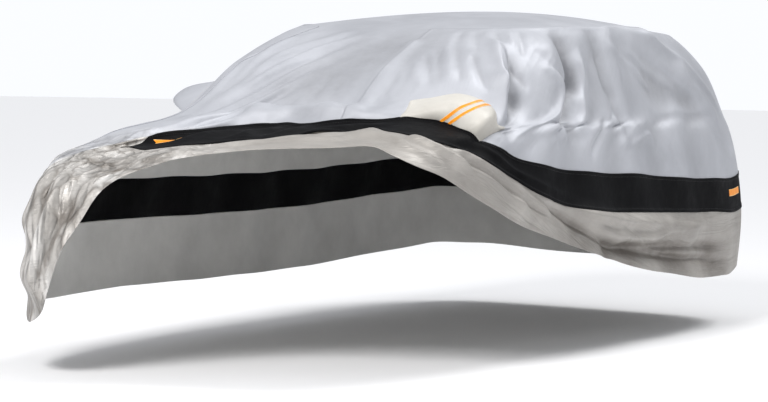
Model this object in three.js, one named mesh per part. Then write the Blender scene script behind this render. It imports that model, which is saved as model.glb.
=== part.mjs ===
// A fitted car cover, draped: a hollow shell of sewn cloth panels over a hatchback that is not modelled.
// Millimetres. While it is laid out, x runs to the car's left, y back from its nose and z up from the ground.
// The finished part's origin is the hold point under its roof.
import * as THREE from 'three';

// ---- driving sizes ----
const CLOTH = 3;            // thickness of the laminated cloth
const SEAM_GAP = 1.2;       // open line between two sewn panels
const TAPE = 1;             // thickness of the reflective tape
const TAPE_LIFT = 1.6;      // space between the tape and the cloth under it
const HOLD_POINT = { x: 0, y: 2950, z: 1503 };   // 2 mm under the cloth at the roof's highest place

// ---- the draped form: closed loops round the hidden car, from the roof's edge down to the hem's level ----
// Each loop is a rounded rectangle in plan; a higher corner number is a squarer corner.
const LOOPS = [
  { name: 'roof', half: 650, front: 1960, rear: 3850, cornerF: 6.0, cornerR: 3.8,
    zFront: 1412, zPeak: 1432, yPeak: 2600, zRear: 1395 },
  { name: 'glass', half: 735, front: 1490, rear: 4010, cornerF: 5.5, cornerR: 5.5,
    zFront: 1245, zPeak: 1275, yPeak: 2400, zRear: 1245 },
  { name: 'belt', half: 805, front: 1110, rear: 4115, cornerF: 5.0, cornerR: 6.0,
    zFront: 1035, zPeak: 1050, yPeak: 2400, zRear: 1040 },
  { name: 'shoulder', half: 850, front: 560, rear: 4155, cornerF: 5.0, cornerR: 6.0,
    zFront: 925, zPeak: 965, yPeak: 1900, zRear: 950 },
  { name: 'waist', half: 890, front: 110, rear: 4190, cornerF: 4.2, cornerR: 6.0,
    zFront: 790, zPeak: 820, yPeak: 2100, zRear: 820 },
  { name: 'side', half: 915, front: -30, rear: 4240, cornerF: 3.9, cornerR: 6.0,
    zFront: 540, zPeak: 540, yPeak: 2100, zRear: 540 },
  { name: 'foot', half: 905, front: 5, rear: 4205, cornerF: 4.1, cornerR: 6.0,
    zFront: 180, zPeak: 180, yPeak: 2100, zRear: 180 },
];
const CROWN = { zFront: 1462, zPeak: 1508, yPeak: 2950, zRear: 1462 };   // the roof's middle line
const ROOF_RUN_IN = 0.8;    // how far in from the roof's edge a column takes its starting slope
const OUTLINE_STEPS = 720;  // how finely a loop is walked
const COLUMN_STEPS = 280;   // how finely a column is walked
// what the hidden car's middle is taken as: the cloth's folds stand out from this line
const CORE = { front: 1200, rear: 3500, z: 550 };

// ---- how far down the cloth, from the roof's edge, its sewn lines lie ----
// turn goes round the car: 0 at the middle of the nose, 1 at the middle of the tail by the left,
// -1 by the right.
// band is the black band's upper edge, foot its lower edge, hem the cover's hem.
const SEWN_LINES = [
  { turn: -1.00, band: 770, foot: 935, hem: 1235 },
  { turn: -0.86, band: 805, foot: 980, hem: 1280 },
  { turn: -0.80, band: 785, foot: 955, hem: 1255 },
  { turn: -0.70, band: 825, foot: 990, hem: 1290 },
  { turn: -0.60, band: 940,  foot: 1110, hem: 1410 },
  { turn: -0.50, band: 1100, foot: 1270, hem: 1570 },
  { turn: -0.40, band: 1285, foot: 1455, hem: 1755 },
  { turn: -0.30, band: 1480, foot: 1650, hem: 1950 },
  { turn: -0.20, band: 1690, foot: 1865, hem: 2180 },
  { turn: -0.16, band: 1800, foot: 1975, hem: 2330 },
  { turn: -0.13, band: 1860, foot: 2050, hem: 2480 },
  { turn: -0.10, band: 1720, foot: 1900, hem: 2530 },
  { turn: -0.08, band: 1530, foot: 1660, hem: 2440 },
  { turn: -0.05, band: 1190, foot: 1635, hem: 2125 },
  { turn: -0.03, band: 1105, foot: 1550, hem: 1935 },
  { turn: 0.00, band: 1050, foot: 1460, hem: 1720 },
  { turn: 0.03, band: 1045, foot: 1370, hem: 1580 },
  { turn: 0.06, band: 995, foot: 1210, hem: 1530 },
  { turn: 0.10, band: 955, foot: 1115, hem: 1485 },
  { turn: 0.13, band: 925, foot: 1150, hem: 1425 },
  { turn: 0.16, band: 930, foot: 1215, hem: 1475 },
  { turn: 0.20, band: 1020, foot: 1250, hem: 1500 },
  { turn: 0.25, band: 1125, foot: 1260, hem: 1490 },
  { turn: 0.30, band: 1190, foot: 1310, hem: 1495 },
  { turn: 0.35, band: 1200, foot: 1300, hem: 1485 },
  { turn: 0.40, band: 1165, foot: 1295, hem: 1455 },
  { turn: 0.48, band: 1060, foot: 1215, hem: 1395 },
  { turn: 0.57, band: 935, foot: 1095, hem: 1345 },
  { turn: 0.65, band: 865, foot: 1015, hem: 1305 },
  { turn: 0.73, band: 830, foot: 980, hem: 1300 },
  { turn: 0.80, band: 840, foot: 1000, hem: 1300 },
  { turn: 0.86, band: 830, foot: 995, hem: 1290 },
  { turn: 1.00, band: 770, foot: 935, hem: 1235 },
];

// the left mirror pocket's upper edge, measured the same way; it meets the even rows at both ends
const POCKET_TOP = [
  { turn: 0.06, down: 647 },
  { turn: 0.10, down: 800 },
  { turn: 0.13, down: 755 },
  { turn: 0.16, down: 690 },
  { turn: 0.20, down: 715 },
  { turn: 0.24, down: 870 },
  { turn: 0.30, down: 797 },
];

// ---- main folds: a soft ridge (height above 0) or trough (below 0) along a line between two points ----
const FOLDS = [
  { name: 'pillar ridge, upper', from: [570, 1790, 1340], to: [700, 1570, 1180], width: 45, height: 24 },
  { name: 'pillar ridge, lower', from: [700, 1570, 1180], to: [780, 1430, 1010], width: 45, height: 26 },
  { name: 'pillar trough, upper', from: [670, 1740, 1290], to: [740, 1620, 1110], width: 45, height: -20 },
  { name: 'pillar trough, lower', from: [740, 1620, 1110], to: [820, 1420, 980], width: 45, height: -20 },
  { name: 'door bulge', from: [720, 2010, 1280], to: [800, 1880, 1040], width: 95, height: 30 },
  { name: 'door trough, upper', from: [700, 2170, 1360], to: [760, 2170, 1200], width: 55, height: -30 },
  { name: 'door trough, lower', from: [760, 2170, 1200], to: [820, 1960, 1010], width: 55, height: -30 },
  { name: 'second door trough', from: [700, 2500, 1360], to: [810, 2530, 1050], width: 70, height: -14 },
  { name: 'second door ridge', from: [720, 2640, 1330], to: [810, 2620, 1000], width: 70, height: 14 },
  { name: 'rear pillar ridge, top', from: [650, 2720, 1430], to: [690, 3080, 1380], width: 70, height: 14 },
  { name: 'rear pillar ridge, mid', from: [690, 3080, 1380], to: [740, 3360, 1240], width: 70, height: 18 },
  { name: 'rear pillar ridge, low', from: [740, 3360, 1240], to: [790, 3660, 1040], width: 70, height: 16 },
  { name: 'rear side hollow', from: [760, 2960, 1200], to: [800, 3480, 1080], width: 110, height: -18 },
  { name: 'hem tuck, front', from: [910, 1690, 640], to: [915, 2240, 470], width: 50, height: -16 },
  { name: 'hem tuck, rear', from: [915, 2240, 470], to: [885, 3620, 310], width: 55, height: -18 },
  { name: 'skirt roll, front', from: [850, 980, 880], to: [900, 1400, 700], width: 55, height: 18 },
  { name: 'skirt roll, middle', from: [900, 1400, 700], to: [920, 2350, 520], width: 60, height: 16 },
  { name: 'skirt roll, rear', from: [920, 2350, 520], to: [910, 3160, 430], width: 60, height: 12 },
  { name: 'bonnet puff, right', from: [-330, 880, 980], to: [-140, 1050, 1010], width: 70, height: 22 },
  { name: 'bonnet puff, middle', from: [-140, 1050, 1010], to: [160, 1110, 1040], width: 70, height: 24 },
  { name: 'bonnet puff, left', from: [160, 1110, 1040], to: [460, 1180, 1060], width: 70, height: 22 },
  { name: 'windscreen sag', from: [-100, 1350, 1170], to: [100, 1700, 1320], width: 220, height: -16 },
  { name: 'windscreen seam ridge', from: [268, 1122, 1039], to: [180, 1760, 1350], width: 40, height: 12 },
];
// small curtain waves along both sides: they lean back as they fall, by one radian in each `lean` millimetres
const SIDE_WAVE = { height: 7, count: 23, lean: 176, middle: 0.5, spread: 0.3, fullBy: 500 };
// rumpled cloth at the right front corner: three crossing waves, in radians for each millimetre
const CRUMPLE = { x: -420, y: 150, reach: 520, height: 10 };
const CRUMPLE_WAVES = [
  { x: 0.006, y: 0, z: 0.030 },
  { x: 0.0167, y: 0, z: -0.0105 },
  { x: 0, y: 0.0133, z: 0.0167 },
];

// ---- the grid of cells that the panels are cut from ----
const ACROSS = 20;          // columns over the nose, and over the tail
const ALONG = 30;           // columns on each side
const FRONT_TURN = 0.19;    // where the nose's columns end, at the foot of the windscreen pillars
const REAR_TURN = 0.82;     // where the tail's columns start
const ROWS = { upper: 12, band: 2, skirt: 5 };
const COLUMNS = 2 * (ACROSS + ALONG);
const BAND_ROW = ROWS.upper;
const SKIRT_ROW = ROWS.upper + ROWS.band;
const HEM_ROW = SKIRT_ROW + ROWS.skirt;
// the columns at the centre panel's seams, and those between which the black band stops short
const SEAMS = {
  frontRight: 2,
  frontLeft: 13,
  rearLeft: ACROSS + ALONG + 2,
  rearRight: 2 * ACROSS + ALONG - 2,
};
const BAND_END = { right: 2, front: 6 };
const POCKETS = {
  left: { from: 16, to: 23, top: 8, bottom: 12, push: { x: 80, y: -60, z: 58 }, lean: 0.55 },
  right: { from: 95, to: 99, top: 4, bottom: 6, push: { x: -165, y: -10, z: 25 }, lean: 0.5 },
};
const POCKET_CUTS = 3;      // how finely each cell of a pocket is divided
const DOME_POWER = 2.6;     // how flat a pocket's top is: a higher number is flatter

// the left pocket's two stripes, from place to place in cells of its divided grid
const STRIPES = {
  stripe_upper: { from: { s: 7.1, t: 11 }, to: { s: 11.6, t: 2 }, width: 14 },
  stripe_lower: { from: { s: 8.8, t: 11 }, to: { s: 12.8, t: 2.8 }, width: 14 },
};
// the two tabs on the band, from place to place in columns round the cover and rows of the band
const TABS = {
  tab_front: { from: { s: 6.3, t: 0.7 }, to: { s: 7.1, t: 0.9 }, width: 60 },
  tab_rear: { from: { s: 48.0, t: 0.85 }, to: { s: 49.8, t: 0.85 }, width: 32 },
};
const TAPE_STEPS = 16;      // pieces along a strip of tape
const TAPE_LANES = 2;       // and across it
const PLACE_STEP = 0.25;    // half the step over which a grid's slope is taken, in cells

// ---- shapes ----
const mix = (a, b, t) => a + (b - a) * t;
const clamp = (value, low, high) => Math.min(high, Math.max(low, value));
const vec = (x, y, z) => new THREE.Vector3(x, y, z);

// height along a loop: highest at yPeak, falling evenly to both ends
function heightAt(profile, loop, y) {
  const ahead = y < profile.yPeak;
  const end = ahead ? loop.front : loop.rear;
  const zEnd = ahead ? profile.zFront : profile.zRear;
  const share = (y - profile.yPeak) / (end - profile.yPeak);
  return mix(profile.zPeak, zEnd, share * share);
}

// a loop's outline in plan on the left side, from the nose to the tail, with the distance walked
function outline(loop) {
  const middle = (loop.front + loop.rear) / 2;
  const length = (loop.rear - loop.front) / 2;
  const walk = [];
  let walked = 0;
  for (let k = 0; k <= OUTLINE_STEPS; k++) {
    const angle = Math.PI * k / OUTLINE_STEPS;
    const power = Math.cos(angle) > 0 ? loop.cornerF : loop.cornerR;
    const reach = (Math.abs(Math.sin(angle)) ** power + Math.abs(Math.cos(angle)) ** power) ** (-1 / power);
    const x = k % OUTLINE_STEPS === 0 ? 0 : loop.half * reach * Math.sin(angle);
    const y = middle - length * reach * Math.cos(angle);
    if (k > 0) walked += Math.hypot(x - walk[k - 1].x, y - walk[k - 1].y);
    walk.push({ x, y, walked });
  }
  return walk;
}
const OUTLINES = LOOPS.map(outline);

function loopPoint(index, turn) {
  const walk = OUTLINES[index];
  const walked = Math.abs(turn) * walk[OUTLINE_STEPS].walked;
  let k = 1;
  while (k < OUTLINE_STEPS && walk[k].walked < walked) k++;
  const share = clamp((walked - walk[k - 1].walked) / (walk[k].walked - walk[k - 1].walked), 0, 1);
  const x = Math.sign(turn) * mix(walk[k - 1].x, walk[k].x, share);
  const y = mix(walk[k - 1].y, walk[k].y, share);
  return vec(x, y, heightAt(LOOPS[index], LOOPS[index], y));
}

function roofPoint(x, y) {
  const loop = LOOPS[0];
  const middle = (loop.front + loop.rear) / 2;
  const length = (loop.rear - loop.front) / 2;
  const power = y < middle ? loop.cornerF : loop.cornerR;
  const [aside, ahead] = [Math.abs(x) / loop.half, Math.abs(y - middle) / length];
  const reach = (aside ** power + ahead ** power) ** (1 / power);
  return vec(x, y, mix(heightAt(CROWN, loop, y), heightAt(loop, loop, y), reach * reach));
}

// one column of cloth: a smooth line from the roof's edge down through every loop
function column(turn) {
  const stops = LOOPS.map((loop, index) => loopPoint(index, turn));
  const middle = (LOOPS[0].front + LOOPS[0].rear) / 2;
  const inner = roofPoint(stops[0].x * ROOF_RUN_IN, mix(middle, stops[0].y, ROOF_RUN_IN));
  const curve = new THREE.CatmullRomCurve3([inner, ...stops], false, 'centripetal');
  const start = 1 / LOOPS.length;
  const walk = [];
  let walked = 0;
  for (let k = 0; k <= COLUMN_STEPS; k++) {
    const point = curve.getPoint(mix(start, 1, k / COLUMN_STEPS));
    if (k > 0) walked += point.distanceTo(walk[k - 1].point);
    walk.push({ point, walked });
  }
  return (distance) => {
    let k = 1;
    while (k < COLUMN_STEPS && walk[k].walked < distance) k++;
    const share = (distance - walk[k - 1].walked) / (walk[k].walked - walk[k - 1].walked);
    return walk[k - 1].point.clone().lerp(walk[k].point, clamp(share, 0, 1));
  };
}

// a line's distance down the cloth, drawn smoothly through its table's rows
function lineDown(table, name, turn) {
  let k = 1;
  while (k < table.length - 1 && table[k].turn < turn) k++;
  const rows = [k - 2, k - 1, k, k + 1].map((n) => table[clamp(n, 0, table.length - 1)]);
  const span = rows[2].turn - rows[1].turn;
  const slope = (a, b) => (a === b ? 0 : (b[name] - a[name]) / (b.turn - a.turn)) * span;
  const t = (turn - rows[1].turn) / span;
  const flatStart = k === 1 ? 0 : slope(rows[0], rows[2]);
  const flatEnd = k === table.length - 1 ? 0 : slope(rows[1], rows[3]);
  return (2 * t ** 3 - 3 * t ** 2 + 1) * rows[1][name] + (t ** 3 - 2 * t ** 2 + t) * flatStart
    + (3 * t ** 2 - 2 * t ** 3) * rows[2][name] + (t ** 3 - t ** 2) * flatEnd;
}

// the way out of the cover at a point, straight from the core line
function outward(point) {
  return point.clone().sub(vec(0, clamp(point.y, CORE.front, CORE.rear), CORE.z)).normalize();
}

function foldHeight(point, fold) {
  const line = new THREE.Line3(vec(...fold.from), vec(...fold.to));
  const distance = line.closestPointToPoint(point, true, vec(0, 0, 0)).distanceTo(point);
  return fold.height * Math.exp(-((distance / fold.width) ** 2));
}

function crumpleHeight(point) {
  const distance = Math.hypot(point.x - CRUMPLE.x, point.y - CRUMPLE.y);
  const share = Math.exp(-((distance / CRUMPLE.reach) ** 4));
  const waves = CRUMPLE_WAVES.map((wave) => Math.sin(wave.x * point.x + wave.y * point.y + wave.z * point.z));
  return CRUMPLE.height * share * waves.reduce((sum, wave) => sum + wave, 0);
}

function waveHeight(point, turn, down) {
  const { height, count, lean, middle, spread, fullBy } = SIDE_WAVE;
  const side = Math.exp(-(((Math.abs(turn) - middle) / spread) ** 4));
  const fall = clamp(down / fullBy, 0, 1);
  return height * side * fall * Math.sin(turn * count * Math.PI + point.z / lean);
}

function relief(point, turn, down) {
  const folds = FOLDS.reduce((sum, fold) => sum + foldHeight(point, fold), 0);
  const height = folds + crumpleHeight(point) + waveHeight(point, turn, down);
  return point.clone().addScaledVector(outward(point), height);
}

// ---- the grid ----
const points = [];
const cells = [];           // { kind, i, j, ids } with ids anticlockwise seen from outside
const ringId = (i, j) => (i % COLUMNS) * (HEM_ROW + 1) + j;

function turnOf(i) {
  if (i <= ACROSS) return mix(-FRONT_TURN, FRONT_TURN, i / ACROSS);
  if (i <= ACROSS + ALONG) return mix(FRONT_TURN, REAR_TURN, (i - ACROSS) / ALONG);
  if (i <= 2 * ACROSS + ALONG) return mix(REAR_TURN, 2 - REAR_TURN, (i - ACROSS - ALONG) / ACROSS);
  return mix(2 - REAR_TURN, 2 - FRONT_TURN, (i - 2 * ACROSS - ALONG) / ALONG);
}

function downOf(turn, j) {
  const [band, foot, hem] = ['band', 'foot', 'hem'].map((name) => lineDown(SEWN_LINES, name, turn));
  const { top, bottom } = POCKETS.left;
  const nearPocket = turn > POCKET_TOP[0].turn && turn < POCKET_TOP[POCKET_TOP.length - 1].turn;
  const pocket = nearPocket ? lineDown(POCKET_TOP, 'down', turn) : band * top / bottom;
  if (j <= top) return pocket * j / top;
  if (j <= BAND_ROW) return mix(pocket, band, (j - top) / (bottom - top));
  if (j <= SKIRT_ROW) return mix(band, foot, (j - BAND_ROW) / ROWS.band);
  return mix(foot, hem, (j - SKIRT_ROW) / ROWS.skirt);
}

for (let i = 0; i < COLUMNS; i++) {
  const round = turnOf(i);
  const turn = round > 1 ? round - 2 : round;
  const place = column(turn);
  for (let j = 0; j <= HEM_ROW; j++) {
    const down = downOf(turn, j);
    points[ringId(i, j)] = relief(place(down), turn, down);
    if (j < HEM_ROW) {
      const ids = [ringId(i, j), ringId(i, j + 1), ringId(i + 1, j + 1), ringId(i + 1, j)];
      cells.push({ kind: 'ring', i, j, ids });
    }
  }
}

// the roof: its edge is the ring's first row, its inside is spread evenly between the four edges
function roofEdgeColumn(a, b) {
  if (b === 0) return a;
  if (a === ACROSS) return ACROSS + b;
  if (b === ALONG) return 2 * ACROSS + ALONG - a;
  return (COLUMNS - b) % COLUMNS;
}

function roofEdgePoint(a, b) {
  const round = turnOf(roofEdgeColumn(a, b));
  return loopPoint(0, round > 1 ? round - 2 : round);
}

function roofInside(a, b) {
  const u = a / ACROSS;
  const v = b / ALONG;
  const lengthways = roofEdgePoint(a, 0).lerp(roofEdgePoint(a, ALONG), v);
  const sideways = roofEdgePoint(0, b).lerp(roofEdgePoint(ACROSS, b), u);
  const noseEnd = roofEdgePoint(0, 0).lerp(roofEdgePoint(ACROSS, 0), u);
  const tailEnd = roofEdgePoint(0, ALONG).lerp(roofEdgePoint(ACROSS, ALONG), u);
  const place = lengthways.add(sideways).sub(noseEnd.lerp(tailEnd, v));
  return relief(roofPoint(place.x, place.y), 0, 0);
}

const roofIds = [];
for (let a = 0; a <= ACROSS; a++) {
  roofIds.push([]);
  for (let b = 0; b <= ALONG; b++) {
    const inside = a > 0 && a < ACROSS && b > 0 && b < ALONG;
    roofIds[a].push(inside ? points.length : ringId(roofEdgeColumn(a, b), 0));
    if (inside) points.push(roofInside(a, b));
  }
}
for (let a = 0; a < ACROSS; a++) {
  for (let b = 0; b < ALONG; b++) {
    const ids = [roofIds[a][b], roofIds[a + 1][b], roofIds[a + 1][b + 1], roofIds[a][b + 1]];
    cells.push({ kind: 'roof', i: a, j: b, ids });
  }
}

// the way out at each grid point, from the cells round it
const normals = points.map(() => vec(0, 0, 0));
for (const cell of cells) {
  const [p, q, r, s] = cell.ids.map((id) => points[id]);
  const facing = r.clone().sub(p).cross(s.clone().sub(q));
  cell.ids.forEach((id) => normals[id].add(facing));
}
normals.forEach((normal) => normal.normalize());

// ---- panels: each is cut from its own cells, drawn back from its seams and made as thick as cloth ----
const within = (value, low, high) => value >= low && value < high;

function pocketOf(cell) {
  return Object.keys(POCKETS).find((side) => {
    const pocket = POCKETS[side];
    const inColumns = within(cell.i, pocket.from, pocket.to);
    return cell.kind === 'ring' && inColumns && within(cell.j, pocket.top, pocket.bottom);
  });
}

function panelOf(cell) {
  if (cell.kind === 'roof') return 'top_centre';
  const pocket = pocketOf(cell);
  if (pocket) return `pocket_${pocket}`;
  if (cell.j >= SKIRT_ROW) return 'skirt_silver';
  const bandStops = within(cell.i, BAND_END.right, BAND_END.front);
  if (cell.j >= BAND_ROW) return bandStops ? 'skirt_silver' : 'band_black';
  if (within(cell.i, SEAMS.frontRight, SEAMS.frontLeft)) return 'top_centre';
  if (within(cell.i, SEAMS.frontLeft, SEAMS.rearLeft)) return 'side_left';
  if (within(cell.i, SEAMS.rearLeft, SEAMS.rearRight)) return 'top_centre';
  return 'side_right';
}
for (const cell of cells) cell.panel = panelOf(cell);

const cellsAt = points.map(() => []);
cells.forEach((cell) => cell.ids.forEach((id) => cellsAt[id].push(cell)));

// a grid point as one panel has it: moved in from the seam, away from the other panels' cells
function seamPoint(id, panel) {
  const own = cellsAt[id].filter((cell) => cell.panel === panel).length;
  const others = cellsAt[id].length - own;
  if (others === 0) return points[id].clone();
  const pull = vec(0, 0, 0);
  for (const cell of cellsAt[id]) {
    const toCentre = vec(0, 0, 0);
    cell.ids.forEach((corner) => toCentre.add(points[corner]).sub(points[id]));
    pull.addScaledVector(toCentre.normalize(), cell.panel === panel ? 1 / own : -1 / others);
  }
  pull.addScaledVector(normals[id], -pull.dot(normals[id])).normalize();
  return points[id].clone().addScaledVector(pull, SEAM_GAP / 2 * (own === others ? 1 : Math.SQRT2));
}

// joins an outer and an inner skin of quads along their open edges into one closed body
function closedSheet(outer, inner, quads) {
  const corners = [];
  const add = (...abc) => abc.forEach((p) => corners.push(p.x, p.y, p.z));
  const open = new Map();
  for (const quad of quads) {
    const [a, b, c, d] = quad;
    add(outer[a], outer[b], outer[c], outer[a], outer[c], outer[d]);
    add(inner[a], inner[c], inner[b], inner[a], inner[d], inner[c]);
    quad.forEach((from, k) => {
      const to = quad[(k + 1) % quad.length];
      if (!open.delete(`${to}:${from}`)) open.set(`${from}:${to}`, [from, to]);
    });
  }
  for (const [from, to] of open.values()) {
    add(outer[from], inner[from], inner[to], outer[from], inner[to], outer[to]);
  }
  const geometry = new THREE.BufferGeometry();
  geometry.setAttribute('position', new THREE.Float32BufferAttribute(corners, 3));
  geometry.computeVertexNormals();
  return geometry;
}

function panelSheet(panel) {
  const outer = {};
  const inner = {};
  const quads = cells.filter((cell) => cell.panel === panel).map((cell) => cell.ids);
  for (const id of new Set(quads.flat())) {
    outer[id] = seamPoint(id, panel);
    inner[id] = outer[id].clone().addScaledVector(normals[id], -CLOTH);
  }
  return closedSheet(outer, inner, quads);
}

// a mirror pocket: its cells divided finely and pushed out over the mirror like the bowl of a spoon
const dome = (t) => 1 - Math.abs(2 * t - 1) ** DOME_POWER;

function pocketGrid(side) {
  const { from, to, top, bottom, push, lean } = POCKETS[side];
  const panel = `pocket_${side}`;
  const wide = (to - from) * POCKET_CUTS;
  const tall = (bottom - top) * POCKET_CUTS;
  const skew = (t) => t ** (Math.log(0.5) / Math.log(lean));
  // a place on the panel before it is pushed out, `thick` below its outer face
  const flat = (m, n, thick) => {
    const i = Math.min(from + Math.floor(m / POCKET_CUTS), to - 1);
    const j = Math.min(top + Math.floor(n / POCKET_CUTS), bottom - 1);
    const corner = (across, down) => {
      const id = ringId(i + across, j + down);
      return seamPoint(id, panel).addScaledVector(normals[id], -thick);
    };
    const u = m / POCKET_CUTS - (i - from);
    const v = n / POCKET_CUTS - (j - top);
    return corner(0, 0).lerp(corner(1, 0), u).lerp(corner(0, 1).lerp(corner(1, 1), u), v);
  };
  const outer = {};
  const id = (m, n) => m * (tall + 1) + n;
  for (let m = 0; m <= wide; m++) {
    for (let n = 0; n <= tall; n++) {
      const share = dome(skew(m / wide)) * dome(n / tall);
      outer[id(m, n)] = flat(m, n, 0).addScaledVector(vec(push.x, push.y, push.z), share);
    }
  }
  const facing = (m, n) => {
    const across = outer[id(Math.min(m + 1, wide), n)].clone().sub(outer[id(Math.max(m - 1, 0), n)]);
    const down = outer[id(m, Math.min(n + 1, tall))].clone().sub(outer[id(m, Math.max(n - 1, 0))]);
    return down.cross(across).normalize();
  };
  const inner = {};
  const quads = [];
  for (let m = 0; m <= wide; m++) {
    for (let n = 0; n <= tall; n++) {
      const edge = m === 0 || n === 0 || m === wide || n === tall;
      const below = outer[id(m, n)].clone().addScaledVector(facing(m, n), -CLOTH);
      inner[id(m, n)] = edge ? flat(m, n, CLOTH) : below;
      if (m < wide && n < tall) quads.push([id(m, n), id(m, n + 1), id(m + 1, n + 1), id(m + 1, n)]);
    }
  }
  return { outer, inner, quads, wide, tall, at: (m, n) => outer[id(m, n)] };
}

// the point and the way out at place (s, t) of a grid's flat facets
function facetAt({ at, wide, tall }, s, t) {
  const m = clamp(Math.floor(s), 0, wide - 1);
  const n = clamp(Math.floor(t), 0, tall - 1);
  const [u, v] = [s - m, t - n];
  const start = at(m, n);
  const side = (u > v ? at(m + 1, n) : at(m, n + 1)).clone().sub(start);
  const corner = at(m + 1, n + 1).clone().sub(start);
  const point = start.clone().addScaledVector(side, Math.abs(u - v)).addScaledVector(corner, Math.min(u, v));
  const normal = u > v ? corner.cross(side) : side.clone().cross(corner);
  return { point, normal: normal.normalize() };
}

// the grid place that lies a small step `aside` of place (s, t)
function placeBeside(grid, s, t, aside) {
  const slope = (ds, dt) => {
    const before = facetAt(grid, s - ds, t - dt).point;
    return facetAt(grid, s + ds, t + dt).point.sub(before).divideScalar(2 * PLACE_STEP);
  };
  const [perS, perT] = [slope(PLACE_STEP, 0), slope(0, PLACE_STEP)];
  const [ss, st, tt] = [perS.dot(perS), perS.dot(perT), perT.dot(perT)];
  const [alongS, alongT] = [aside.dot(perS), aside.dot(perT)];
  const det = ss * tt - st * st;
  return [s + (alongS * tt - alongT * st) / det, t + (alongT * ss - alongS * st) / det];
}

// a strip of tape that follows a grid's facets from one place to another, held just off them
function tapeStrip(grid, { from, to, width }) {
  const onLine = (share) => facetAt(grid, mix(from.s, to.s, share), mix(from.t, to.t, share));
  const along = onLine(0.5 + PLACE_STEP).point.sub(onLine(0.5 - PLACE_STEP).point).normalize();
  const outer = {};
  const inner = {};
  const quads = [];
  const id = (k, lane) => k * (TAPE_LANES + 1) + lane;
  for (let k = 0; k <= TAPE_STEPS; k++) {
    for (let lane = 0; lane <= TAPE_LANES; lane++) {
      const out = onLine(k / TAPE_STEPS).normal;
      const aside = along.clone().cross(out).normalize().multiplyScalar(width * (lane / TAPE_LANES - 0.5));
      const s = mix(from.s, to.s, k / TAPE_STEPS);
      const t = mix(from.t, to.t, k / TAPE_STEPS);
      const { point, normal } = facetAt(grid, ...placeBeside(grid, s, t, aside));
      inner[id(k, lane)] = point.clone().addScaledVector(normal, TAPE_LIFT);
      outer[id(k, lane)] = point.clone().addScaledVector(normal, TAPE_LIFT + TAPE);
      if (k < TAPE_STEPS && lane < TAPE_LANES) {
        quads.push([id(k, lane), id(k, lane + 1), id(k + 1, lane + 1), id(k + 1, lane)]);
      }
    }
  }
  return closedSheet(outer, inner, quads);
}

// ---- the finished group ----
function cloth(name, color, roughness, metalness) {
  return new THREE.MeshStandardMaterial({ name, color, roughness, metalness });
}
const SILVER = cloth('silver_cloth', 0xc3c6cc, 0.5, 0.25);
const WARM_SILVER = cloth('warm_silver_cloth', 0xbdb8b2, 0.5, 0.25);
const BLACK = cloth('black_cloth', 0x1b1b1d, 0.6, 0);
const POCKET_CLOTH = cloth('pocket_cloth', 0xd9d5ce, 0.5, 0.15);
const ORANGE = cloth('orange_tape', 0xf29a2e, 0.4, 0);

const cover = new THREE.Group();
cover.position.set(-HOLD_POINT.x, -HOLD_POINT.y, -HOLD_POINT.z);
function addPiece(name, geometry, material) {
  const mesh = new THREE.Mesh(geometry, material);
  mesh.name = name;
  cover.add(mesh);
}

addPiece('top_centre', panelSheet('top_centre'), SILVER);
addPiece('side_left', panelSheet('side_left'), SILVER);
addPiece('side_right', panelSheet('side_right'), SILVER);
addPiece('band_black', panelSheet('band_black'), BLACK);
addPiece('skirt_silver', panelSheet('skirt_silver'), WARM_SILVER);

const pocketGrids = { left: pocketGrid('left'), right: pocketGrid('right') };
for (const [side, grid] of Object.entries(pocketGrids)) {
  addPiece(`pocket_${side}`, closedSheet(grid.outer, grid.inner, grid.quads), POCKET_CLOTH);
}

for (const [name, strip] of Object.entries(STRIPES)) {
  addPiece(name, tapeStrip(pocketGrids.left, strip), ORANGE);
}

const bandGrid = { at: (i, j) => points[ringId(i, BAND_ROW + j)], wide: COLUMNS, tall: ROWS.band };
for (const [name, tab] of Object.entries(TABS)) addPiece(name, tapeStrip(bandGrid, tab), ORANGE);

const part = new THREE.Group();
part.add(cover);
export default part;
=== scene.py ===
# %% [markdown]
# # A fitted car cover, draped
# A cover like this is sewn from silver-coated cloth: a long centre panel, two side panels, a black band, a skirt
# with the hem in it, and a pocket over each door mirror. It lies on a car that is not built here, so the model
# is a hollow shell in the shape in which the cloth hangs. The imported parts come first, as a fixed frame.

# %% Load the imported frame
import math

import bpy
import numpy as np
from mathutils import Matrix, Vector
from mathutils.bvhtree import BVHTree
from mathutils.kdtree import KDTree


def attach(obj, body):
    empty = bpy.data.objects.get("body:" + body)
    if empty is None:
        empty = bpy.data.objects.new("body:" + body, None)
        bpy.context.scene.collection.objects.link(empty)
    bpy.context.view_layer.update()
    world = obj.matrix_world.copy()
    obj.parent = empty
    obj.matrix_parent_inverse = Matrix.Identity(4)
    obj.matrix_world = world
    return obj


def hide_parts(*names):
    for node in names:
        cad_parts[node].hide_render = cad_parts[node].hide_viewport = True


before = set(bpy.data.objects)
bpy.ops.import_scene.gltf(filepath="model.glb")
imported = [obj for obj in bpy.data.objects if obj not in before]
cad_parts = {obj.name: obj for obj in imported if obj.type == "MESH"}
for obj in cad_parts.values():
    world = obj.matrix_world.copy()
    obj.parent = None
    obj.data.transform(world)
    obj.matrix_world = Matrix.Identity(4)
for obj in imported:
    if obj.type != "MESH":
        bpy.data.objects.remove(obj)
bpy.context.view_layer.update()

# %% [markdown]
# ## Camera
# The viewer stands to the front left of the car, about ten metres away with a long lens, a little above the
# middle of the doors. Places are measured from the ground under the car's nose: x to the car's left, y back,
# z up. The parts' own origin is a hold point under the roof, so everything is shifted by HOLD at the end.

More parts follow.
